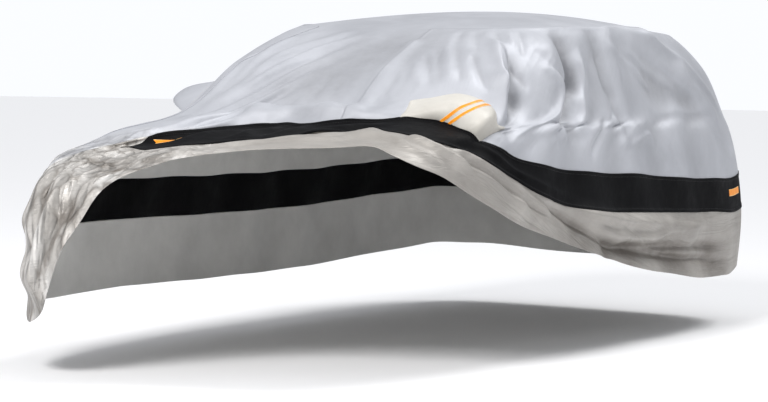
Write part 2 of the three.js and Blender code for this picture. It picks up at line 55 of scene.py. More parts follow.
# %% Set the camera
HOLD = np.array([0.0, 2.950, 1.503])
CAMERA_AT = np.array([5.626, -7.913, 1.281])
CAMERA_TURN, CAMERA_TILT, CAMERA_ROLL = 29.956, 3.221, 1.115
FOCAL_PIXELS, FRAME_WIDTH, SENSOR = 2552.2, 768, 36.0


def camera_axes():
    turn, tilt, roll = (math.radians(a) for a in (CAMERA_TURN, CAMERA_TILT, CAMERA_ROLL))
    ahead = np.array([-math.sin(turn) * math.cos(tilt), math.cos(turn) * math.cos(tilt), -math.sin(tilt)])
    right = np.array([math.cos(turn), math.sin(turn), 0.0])
    up = np.cross(right, ahead)
    rolled_right = right * math.cos(roll) + up * math.sin(roll)
    rolled_up = -right * math.sin(roll) + up * math.cos(roll)
    return rolled_right, rolled_up, ahead


def add_camera():
    right, up, ahead = camera_axes()
    data = bpy.data.cameras.new("camera")
    data.sensor_width = SENSOR
    data.lens = FOCAL_PIXELS * SENSOR / FRAME_WIDTH
    camera = bpy.data.objects.new("camera", data)
    matrix = np.eye(4)
    matrix[:3, 0], matrix[:3, 1], matrix[:3, 2] = right, up, -ahead
    matrix[:3, 3] = CAMERA_AT - HOLD
    camera.matrix_world = Matrix(matrix.tolist())
    bpy.context.scene.collection.objects.link(camera)
    bpy.context.scene.camera = camera
    return camera


camera = add_camera()
print("lens:", round(camera.data.lens, 1), "mm")

# %% [markdown]
# ## The draped form
# The cloth hangs from the roof's edge down over the windows, the doors and the sills. Seven closed loops say where
# it passes on the way, each a rounded rectangle seen from above. A smooth curve through a place on every loop is
# one column of cloth. This keeps the whole form in one short table, and any place on it can be asked for by two
# numbers: its turn round the car and its distance down the cloth.

# %% The loops, in metres
# name, half width, front, rear, squareness of the front and rear corners, height at front, peak, its y, rear
LOOP_ROWS = [
    ("roof", 0.650, 1.960, 3.850, 6.0, 3.8, 1.412, 1.432, 2.600, 1.395),
    ("glass", 0.735, 1.490, 4.010, 5.5, 5.5, 1.245, 1.275, 2.400, 1.245),
    ("belt", 0.805, 1.110, 4.115, 5.0, 6.0, 1.035, 1.050, 2.400, 1.040),
    ("shoulder", 0.850, 0.560, 4.155, 5.0, 6.0, 0.925, 0.965, 1.900, 0.950),
    ("waist", 0.890, 0.110, 4.190, 4.2, 6.0, 0.790, 0.820, 2.100, 0.820),
    ("side", 0.915, -0.030, 4.240, 3.9, 6.0, 0.540, 0.540, 2.100, 0.540),
    ("foot", 0.905, 0.005, 4.205, 4.1, 6.0, 0.180, 0.180, 2.100, 0.180),
]
LOOP_NAMES = ("name", "half", "front", "rear", "corner_front", "corner_rear",
              "z_front", "z_peak", "y_peak", "z_rear")
LOOPS = [dict(zip(LOOP_NAMES, row)) for row in LOOP_ROWS]
CROWN = {"z_front": 1.462, "z_peak": 1.508, "y_peak": 2.950, "z_rear": 1.462}
ROOF_RUN_IN = 0.8
OUTLINE_STEPS = 1440
COLUMN_STEPS = 40


def height_at(profile, loop, y):
    ahead = y < profile["y_peak"]
    end = np.where(ahead, loop["front"], loop["rear"])
    z_end = np.where(ahead, profile["z_front"], profile["z_rear"])
    share = (y - profile["y_peak"]) / (end - profile["y_peak"])
    return profile["z_peak"] + (z_end - profile["z_peak"]) * share ** 2


def outline(loop):
    angle = np.linspace(0, math.pi, OUTLINE_STEPS + 1)
    power = np.where(np.cos(angle) > 0, loop["corner_front"], loop["corner_rear"])
    reach = (np.abs(np.sin(angle)) ** power + np.abs(np.cos(angle)) ** power) ** (-1 / power)
    x = loop["half"] * reach * np.sin(angle)
    x[[0, -1]] = 0
    y = (loop["front"] + loop["rear"]) / 2 - (loop["rear"] - loop["front"]) / 2 * reach * np.cos(angle)
    walked = np.concatenate([[0], np.cumsum(np.hypot(np.diff(x), np.diff(y)))])
    return x, y, walked


OUTLINES = [outline(loop) for loop in LOOPS]


def loop_point(index, turn):
    x, y, walked = OUTLINES[index]
    turn = (np.asarray(turn, float) + 1) % 2 - 1
    distance = np.abs(turn) * walked[-1]
    across = np.sign(turn) * np.interp(distance, walked, x)
    back = np.interp(distance, walked, y)
    return np.stack([across, back, height_at(LOOPS[index], LOOPS[index], back)], -1)


def roof_point(x, y):
    loop = LOOPS[0]
    middle, length = (loop["front"] + loop["rear"]) / 2, (loop["rear"] - loop["front"]) / 2
    power = np.where(y < middle, loop["corner_front"], loop["corner_rear"])
    reach = ((np.abs(x) / loop["half"]) ** power + (np.abs(y - middle) / length) ** power) ** (1 / power)
    edge = height_at(loop, loop, y)
    return np.stack([x, y, edge + (1 - reach ** 2) * (height_at(CROWN, loop, y) - edge)], -1)


def blend_points(a, b, knot_a, knot_b, t):
    return ((knot_b - t) * a + (t - knot_a) * b) / (knot_b - knot_a)


def smooth_curve(stops, steps):
    """A centripetal curve through stops[1:-1], for many curves at once: stops is (stop, curve, 3)."""
    points = []
    for k in range(1, len(stops) - 2):
        p = stops[k - 1:k + 3]
        gaps = [np.linalg.norm(b - a, axis=-1)[:, None] ** 0.5 for a, b in zip(p, p[1:])]
        knots = [0 * gaps[0], gaps[0], gaps[0] + gaps[1], gaps[0] + gaps[1] + gaps[2]]
        last = k == len(stops) - 3
        for step in range(steps + last):
            t = knots[1] + gaps[1] * step / steps
            near = [blend_points(p[i], p[i + 1], knots[i], knots[i + 1], t) for i in range(3)]
            wide = [blend_points(near[i], near[i + 1], knots[i], knots[i + 2], t) for i in range(2)]
            points.append(blend_points(wide[0], wide[1], knots[1], knots[2], t))
    return np.array(points).transpose(1, 0, 2)


def columns(turn):
    """The columns of cloth at these turns: their points, and how far down the cloth each point is."""
    stops = [loop_point(index, turn) for index in range(len(LOOPS))]
    middle = (LOOPS[0]["front"] + LOOPS[0]["rear"]) / 2
    inner = roof_point(stops[0][:, 0] * ROOF_RUN_IN, middle + (stops[0][:, 1] - middle) * ROOF_RUN_IN)
    beyond = 2 * stops[-1] - stops[-2]
    curve = smooth_curve([inner] + stops + [beyond], COLUMN_STEPS)
    step = np.linalg.norm(np.diff(curve, axis=1), axis=2)
    return curve, np.concatenate([np.zeros((len(curve), 1)), np.cumsum(step, axis=1)], axis=1)


def on_columns(curves, distances, down):
    """One row of places for each column, at the distances down in `down` (column, row)."""
    places = np.empty(down.shape + (3,))
    for c in range(len(curves)):
        for axis in range(3):
            places[c, :, axis] = np.interp(down[c], distances[c], curves[c, :, axis])
    return places


def place(turn, down):
    """The smooth form's point at one turn and one distance down the cloth."""
    curves, distances = columns(np.array([turn]))
    return on_columns(curves, distances, np.array([[down]]))[0, 0]


print("form:", len(LOOPS), "loops, left door middle at", place(0.4, 0.7).round(3))

# %% [markdown]
# ## Sewn lines
# The black band's two edges and the hem wander: the hem is drawn back off the bonnet on the left, hangs low at
# the right front corner, and runs level round the tail. Each line is a short table of how far down the cloth it
# lies at a few turns, with a smooth line drawn through them.

# %% The sewn lines, in metres down the cloth
# turn, band's upper edge, band's lower edge, hem
# turn, then metres down to the band's upper edge, to its foot and to the hem. Twenty-one of the rows, from turn
# -0.13 to 0.80, were worked out by a separate program in steps of 5 mm, and most of those are pasted from it.
SEWN_ROWS = [
    (-1.00, 0.770, 0.935, 1.235), (-0.86, 0.805, 0.980, 1.280), (-0.80, 0.785, 0.955, 1.255),
    (-0.70, 0.825, 0.990, 1.290), (-0.60, 0.940, 1.110, 1.410), (-0.50, 1.100, 1.270, 1.570),
    (-0.40, 1.285, 1.455, 1.755), (-0.30, 1.480, 1.650, 1.950), (-0.20, 1.690, 1.865, 2.180),
    (-0.16, 1.800, 1.975, 2.330), (-0.13, 1.860, 2.050, 2.480), (-0.10, 1.720, 1.900, 2.530),
    (-0.08, 1.530, 1.660, 2.440), (-0.05, 1.190, 1.635, 2.125), (-0.03, 1.105, 1.550, 1.935),
    (0.00, 1.050, 1.460, 1.720), (0.03, 1.045, 1.370, 1.580), (0.06, 0.995, 1.210, 1.530),
    (0.10, 0.955, 1.115, 1.485), (0.13, 0.925, 1.150, 1.425), (0.16, 0.930, 1.215, 1.475),
    (0.20, 1.020, 1.250, 1.500), (0.25, 1.125, 1.260, 1.490), (0.30, 1.190, 1.310, 1.495),
    (0.35, 1.200, 1.300, 1.485), (0.40, 1.165, 1.295, 1.455), (0.48, 1.060, 1.215, 1.395),
    (0.57, 0.935, 1.095, 1.345), (0.65, 0.865, 1.015, 1.305), (0.73, 0.830, 0.980, 1.300),
    (0.80, 0.840, 1.000, 1.300), (0.86, 0.830, 0.995, 1.290), (1.00, 0.770, 0.935, 1.235),
]
# the left pocket's upper edge: turn, metres down
POCKET_TOP_ROWS = [(0.06, 0.647), (0.10, 0.800), (0.13, 0.755), (0.16, 0.690), (0.20, 0.715), (0.24, 0.870),
                   (0.30, 0.797)]
SEWN_TURNS, BAND_DOWN, FOOT_DOWN, HEM_DOWN = np.array(SEWN_ROWS).T
POCKET_TURNS, POCKET_DOWN = np.array(POCKET_TOP_ROWS).T


def line_down(turns, values, turn):
    """How far down a line lies: smooth through its table's rows, level at both ends."""
    k = np.clip(np.searchsorted(turns, turn), 1, len(turns) - 1)
    slope = np.zeros(len(turns))
    slope[1:-1] = (values[2:] - values[:-2]) / (turns[2:] - turns[:-2])
    span = turns[k] - turns[k - 1]
    t = (turn - turns[k - 1]) / span
    start, end = slope[k - 1] * span, slope[k] * span
    return ((2 * t ** 3 - 3 * t ** 2 + 1) * values[k - 1] + (t ** 3 - 2 * t ** 2 + t) * start
            + (3 * t ** 2 - 2 * t ** 3) * values[k] + (t ** 3 - t ** 2) * end)


print("hem at the nose's middle:", line_down(SEWN_TURNS, HEM_DOWN, np.array([0.0])).round(3), "m down")

# %% [markdown]
# ## One grid for all the panels
# Every panel is cut from the same grid of cells, so their edges meet. The grid has coarse columns and rows, where
# the seams lie, and each is cut finely for the folds, with an extra line close to every seam. The roof is a patch
# spread between the four edges of the grid's first row.

# %% Grid lines
ACROSS, ALONG = 20, 30
UPPER, BAND_ROWS, SKIRT_ROWS = 12, 2, 5
BAND_ROW, SKIRT_ROW, HEM_ROW = UPPER, UPPER + BAND_ROWS, UPPER + BAND_ROWS + SKIRT_ROWS
FRONT_TURN, REAR_TURN = 0.19, 0.82
SEAM_COLUMNS = {"front_right": 2, "front_left": 13, "rear_left": 52, "rear_right": 68}
BAND_STOPS = (2, 6)
POCKETS = {
    "left": {"columns": (16, 23), "rows": (8, 12), "push": (0.080, -0.060, 0.058), "lean": 0.55},
    "right": {"columns": (95, 99), "rows": (4, 6), "push": (-0.165, -0.010, 0.025), "lean": 0.5},
}
CUTS_ACROSS, CUTS_ALONG_FRONT, CUTS_ALONG_REAR, CUTS_DOWN = 6, 10, 6, 8
FRONT_CELLS = 14
CLOSE = 0.06


def cut_lines(count, cuts, seams, front_cuts=None):
    even = np.arange(count * cuts + 1) / cuts
    if front_cuts:
        front = np.arange(FRONT_CELLS * front_cuts) / front_cuts
        even = np.concatenate([front, even[even >= FRONT_CELLS]])
    close = [seam + side * CLOSE for seam in seams for side in (-1, 1)]
    close = [value for value in close if 0 < value < count]
    return np.unique(np.round(np.concatenate([even, close]), 5))


LINES_ACROSS = cut_lines(ACROSS, CUTS_ACROSS, (2, 13, 16, 18))
LINES_ALONG = cut_lines(ALONG, CUTS_ALONG_REAR, (1, 3, 5), CUTS_ALONG_FRONT)
LINES_DOWN = cut_lines(HEM_ROW, CUTS_DOWN, (4, 6, 8, BAND_ROW, SKIRT_ROW, HEM_ROW))
RING = np.concatenate([LINES_ACROSS[:-1], ACROSS + LINES_ALONG[:-1],
                       ACROSS + ALONG + (ACROSS - LINES_ACROSS[::-1])[:-1],
                       2 * ACROSS + ALONG + (ALONG - LINES_ALONG[::-1])[:-1]])
COLUMNS = 2 * (ACROSS + ALONG)


def turn_of(column):
    """The turn round the car of a place along the grid's columns."""
    stops = [0, ACROSS, ACROSS + ALONG, 2 * ACROSS + ALONG, COLUMNS]
    turns = [-FRONT_TURN, FRONT_TURN, REAR_TURN, 2 - REAR_TURN, 2 - FRONT_TURN]
    return (np.interp(column, stops, turns) + 1) % 2 - 1


def down_of(turn, row):
    """How far down the cloth a row lies at a turn."""
    band, foot, hem = (line_down(SEWN_TURNS, values, turn) for values in (BAND_DOWN, FOOT_DOWN, HEM_DOWN))
    top, bottom = POCKETS["left"]["rows"]
    near = (turn > POCKET_TURNS[0]) & (turn < POCKET_TURNS[-1])
    pocket = np.where(near, line_down(POCKET_TURNS, POCKET_DOWN, turn), band * top / bottom)
    stops = np.stack([0 * band, pocket, band, foot, hem])
    rows = np.array([0, top, BAND_ROW, SKIRT_ROW, HEM_ROW])
    return np.array([np.interp(row, rows, stops[:, c]) for c in range(len(turn))])


print("grid:", len(RING), "columns,", len(LINES_DOWN), "rows, roof", len(LINES_ACROSS), "by", len(LINES_ALONG))

# %% The smooth grid
ring_turn = turn_of(RING)
ring_down = down_of(ring_turn, LINES_DOWN)
ring_points = on_columns(*columns(ring_turn), ring_down)


def roof_patch():
    """Places inside the roof, spread evenly between its four edges."""
    nose = loop_point(0, turn_of(LINES_ACROSS))[:, None]
    tail = loop_point(0, turn_of(2 * ACROSS + ALONG - LINES_ACROSS))[:, None]
    right = loop_point(0, turn_of(COLUMNS - LINES_ALONG))[None]
    left = loop_point(0, turn_of(ACROSS + LINES_ALONG))[None]
    u = (LINES_ACROSS / ACROSS)[:, None, None]
    v = (LINES_ALONG / ALONG)[None, :, None]
    lengthways = nose * (1 - v) + tail * v
    sideways = right * (1 - u) + left * u
    corners = ((right[:, :1] * (1 - u) + left[:, :1] * u) * (1 - v)
               + (right[:, -1:] * (1 - u) + left[:, -1:] * u) * v)
    spread = lengthways + sideways - corners
    return roof_point(spread[..., 0], spread[..., 1])


roof_points = roof_patch()
ROWS_DOWN = len(LINES_DOWN)
ring_ids = np.arange(len(RING) * ROWS_DOWN).reshape(len(RING), ROWS_DOWN)
roof_ids = np.full(roof_points.shape[:2], -1)
last_a, last_b = len(LINES_ACROSS) - 1, len(LINES_ALONG) - 1
edge_column = np.arange(len(RING))
roof_ids[:, 0] = ring_ids[edge_column[:last_a + 1], 0]
roof_ids[-1, :] = ring_ids[edge_column[last_a:last_a + last_b + 1], 0]
roof_ids[:, -1] = ring_ids[edge_column[last_a + last_b:2 * last_a + last_b + 1], 0][::-1]
roof_ids[0, 1:] = ring_ids[edge_column[2 * last_a + last_b:], 0][::-1]
inside = np.argwhere(roof_ids < 0)
roof_ids[inside[:, 0], inside[:, 1]] = ring_ids.size + np.arange(len(inside))
smooth_points = np.concatenate([ring_points.reshape(-1, 3), roof_points[inside[:, 0], inside[:, 1]]])
vertex_turn = np.concatenate([np.repeat(ring_turn, ROWS_DOWN), np.zeros(len(inside))])
vertex_down = np.concatenate([ring_down.ravel(), np.zeros(len(inside))])

after = np.roll(ring_ids, -1, axis=0)
ring_quads = np.stack([ring_ids[:, :-1], ring_ids[:, 1:], after[:, 1:], after[:, :-1]], -1)
roof_quads = np.stack([roof_ids[:-1, :-1], roof_ids[1:, :-1], roof_ids[1:, 1:], roof_ids[:-1, 1:]], -1)
all_quads = np.concatenate([ring_quads.reshape(-1, 4), roof_quads.reshape(-1, 4)])
print("grid points:", len(smooth_points), "cells:", len(all_quads))


def normals_of(points, quads):
    """The way out at each grid point, from the cells round it."""
    corners = points[quads]
    facing = np.cross(corners[:, 2] - corners[:, 0], corners[:, 3] - corners[:, 1])
    normals = np.zeros_like(points)
    for k in range(4):
        np.add.at(normals, quads[:, k], facing)
    return normals / np.maximum(np.linalg.norm(normals, axis=1, keepdims=True), 1e-12)


smooth_normals = normals_of(smooth_points, all_quads)

# %% [markdown]
# ## Main folds
# A loose cover hangs in a few big folds: ridges down the windscreen pillars, troughs where the doors fall in,
# rolls along the skirt and a puff of slack over the bonnet. Each is a soft ridge or trough along a line between
# two points, and all stand out from a line through the hidden car's middle. They are the folds that the packed
# solids have too, so the dressed model and its frame agree.

# %% Main folds: name, from, to, width, height
FOLD_ROWS = [
    ("pillar ridge, upper", (0.570, 1.790, 1.340), (0.700, 1.570, 1.180), 0.045, 0.024),
    ("pillar ridge, lower", (0.700, 1.570, 1.180), (0.780, 1.430, 1.010), 0.045, 0.026),
    ("pillar trough, upper", (0.670, 1.740, 1.290), (0.740, 1.620, 1.110), 0.045, -0.020),
    ("pillar trough, lower", (0.740, 1.620, 1.110), (0.820, 1.420, 0.980), 0.045, -0.020),
    ("door bulge", (0.720, 2.010, 1.280), (0.800, 1.880, 1.040), 0.095, 0.030),
    ("door trough, upper", (0.700, 2.170, 1.360), (0.760, 2.170, 1.200), 0.055, -0.030),
    ("door trough, lower", (0.760, 2.170, 1.200), (0.820, 1.960, 1.010), 0.055, -0.030),
    ("second door trough", (0.700, 2.500, 1.360), (0.810, 2.530, 1.050), 0.070, -0.014),
    ("second door ridge", (0.720, 2.640, 1.330), (0.810, 2.620, 1.000), 0.070, 0.014),
    ("rear pillar ridge, top", (0.650, 2.720, 1.430), (0.690, 3.080, 1.380), 0.070, 0.014),
    ("rear pillar ridge, mid", (0.690, 3.080, 1.380), (0.740, 3.360, 1.240), 0.070, 0.018),
    ("rear pillar ridge, low", (0.740, 3.360, 1.240), (0.790, 3.660, 1.040), 0.070, 0.016),
    ("rear side hollow", (0.760, 2.960, 1.200), (0.800, 3.480, 1.080), 0.110, -0.018),
    ("hem tuck, front", (0.910, 1.690, 0.640), (0.915, 2.240, 0.470), 0.050, -0.016),
    ("hem tuck, rear", (0.915, 2.240, 0.470), (0.885, 3.620, 0.310), 0.055, -0.018),
    ("skirt roll, front", (0.850, 0.980, 0.880), (0.900, 1.400, 0.700), 0.055, 0.018),
    ("skirt roll, middle", (0.900, 1.400, 0.700), (0.920, 2.350, 0.520), 0.060, 0.016),
    ("skirt roll, rear", (0.920, 2.350, 0.520), (0.910, 3.160, 0.430), 0.060, 0.012),
    ("bonnet puff, right", (-0.330, 0.880, 0.980), (-0.140, 1.050, 1.010), 0.070, 0.022),
    ("bonnet puff, middle", (-0.140, 1.050, 1.010), (0.160, 1.110, 1.040), 0.070, 0.024),
    ("bonnet puff, left", (0.160, 1.110, 1.040), (0.460, 1.180, 1.060), 0.070, 0.022),
    ("windscreen sag", (-0.100, 1.350, 1.170), (0.100, 1.700, 1.320), 0.220, -0.016),
    ("windscreen seam ridge", (0.268, 1.122, 1.039), (0.180, 1.760, 1.350), 0.040, 0.012),
]
CORE = {"front": 1.200, "rear": 3.500, "height": 0.550}
SIDE_WAVE = {"height": 0.007, "count": 23, "lean": 0.176, "middle": 0.5, "spread": 0.3, "full_by": 0.5}
CRUMPLE = {"x": -0.420, "y": 0.150, "reach": 0.520, "height": 0.010}
CRUMPLE_WAVES = [(6.0, 0.0, 30.0), (16.7, 0.0, -10.5), (0.0, 13.3, 16.7)]


def unit(vectors):
    return vectors / np.maximum(np.linalg.norm(vectors, axis=-1, keepdims=True), 1e-12)


def outward(points):
    core = np.stack([0 * points[:, 1], np.clip(points[:, 1], CORE["front"], CORE["rear"]),
                     0 * points[:, 1] + CORE["height"]], -1)
    return unit(points - core)


def near_corner(points, reach):
    """A share that falls from one at the bunched front corner to nothing past `reach` metres."""
    distance = np.hypot(points[..., 0] - CRUMPLE["x"], points[..., 1] - CRUMPLE["y"])
    return np.exp(-(distance / reach) ** 4)


def line_distance(points, start, end):
    start, end = np.array(start), np.array(end)
    along = end - start
    share = np.clip((points - start) @ along / (along @ along), 0, 1)
    return np.linalg.norm(points - start - share[:, None] * along, axis=1)


def main_relief(points, turn, down):
    """How far the main folds, the corner's crumple and the curtain waves stand out at each point."""
    total = sum(height * np.exp(-(line_distance(points, start, end) / width) ** 2)
                for _, start, end, width, height in FOLD_ROWS)
    near = near_corner(points, CRUMPLE["reach"])
    total += CRUMPLE["height"] * near * sum(np.sin(points @ np.array(wave)) for wave in CRUMPLE_WAVES)
    beside = np.exp(-((np.abs(turn) - SIDE_WAVE["middle"]) / SIDE_WAVE["spread"]) ** 4)
    fall = np.clip(down / SIDE_WAVE["full_by"], 0, 1)
    ripple = np.sin(turn * SIDE_WAVE["count"] * math.pi + points[:, 2] / SIDE_WAVE["lean"])
    return total + SIDE_WAVE["height"] * beside * fall * ripple


main_height = main_relief(smooth_points, vertex_turn, vertex_down)
lowest, highest = (round(float(value) * 1000) for value in (main_height.min(), main_height.max()))
print("main folds: from", lowest, "to", highest, "mm")

# %% [markdown]
# ## Creases
# Between the main folds the cloth breaks into narrower creases. Each is a soft ridge or trough that follows a
# list of places on the cloth, given as turn and distance down. A real crease is steeper on one side, so each has
# a lean, and it fades at its ends.
#
# The widths, heights and leans are set one by one. The places mostly aren't: those of 54 creases were worked out by
# a separate program, from points marked along each one, and pasted here. It is not a good example of a
# table: fewer places, with round values set by hand, would read better. The roof's edge, the door pleats and the
# pocket's creases don't come from that program.

# %% How a crease lifts the cloth
def on_form(turns, downs):
    """Places on the smooth form, one for each turn and distance down."""
    return on_columns(*columns(np.asarray(turns, float)), np.asarray(downs, float)[:, None])[:, 0]


def crease_line(path, steps=8):
    """A crease's places on the cloth, drawn through its stops as a smooth line."""
    path = np.array(path, float)
    ends = np.concatenate([2 * path[:1] - path[1:2], path, 2 * path[-1:] - path[-2:-1]])
    fine = []
    for k in range(1, len(ends) - 2):
        a, b, c, d = ends[k - 1:k + 3]
        for t in np.arange(steps) / steps:
            fine.append(0.5 * (2 * b + (c - a) * t + (2 * a - 5 * b + 4 * c - d) * t ** 2
                               + (3 * b - a - 3 * c + d) * t ** 3))
    fine.append(path[-1])
    fine = np.array(fine)
    return on_form(fine[:, 0], fine[:, 1])


def crease_height(points, normals, line, width, height, lean=0.0, sharp=1.6, fade=0.22):
    """One crease: which points it reaches, and how high it lifts each."""
    reach = 3.0 * width
    low, high = line.min(axis=0) - reach, line.max(axis=0) + reach
    near = np.flatnonzero(np.all((points > low) & (points < high), axis=1))
    if not len(near):
        return near, np.zeros(0)
    start, along = line[:-1], np.diff(line, axis=0)
    length = np.linalg.norm(along, axis=1)
    walked = np.concatenate([[0], np.cumsum(length)])
    gap = points[near][:, None] - start[None]
    share = np.clip((gap * along[None]).sum(-1) / (length ** 2)[None], 0, 1)
    offset = gap - share[..., None] * along[None]
    distance = np.linalg.norm(offset, axis=2)
    best = distance.argmin(axis=1)
    pick = np.arange(len(near))
    side = np.sign((np.cross(along[best], offset[pick, best]) * normals[near]).sum(-1))
    place_along = (walked[best] + share[pick, best] * length[best]) / walked[-1]
    taper = np.clip(np.minimum(place_along, 1 - place_along) / fade, 0, 1)
    taper = taper ** 2 * (3 - 2 * taper)
    scaled = distance[pick, best] / (width * (1 + lean * side))
    return near, height * taper * np.exp(-scaled ** sharp)


print("one crease tried:", len(crease_height(smooth_points, smooth_normals,
      crease_line([(0.30, 0.40), (0.32, 0.60), (0.31, 1.10)]), 0.03, 0.01)[0]), "points reached")

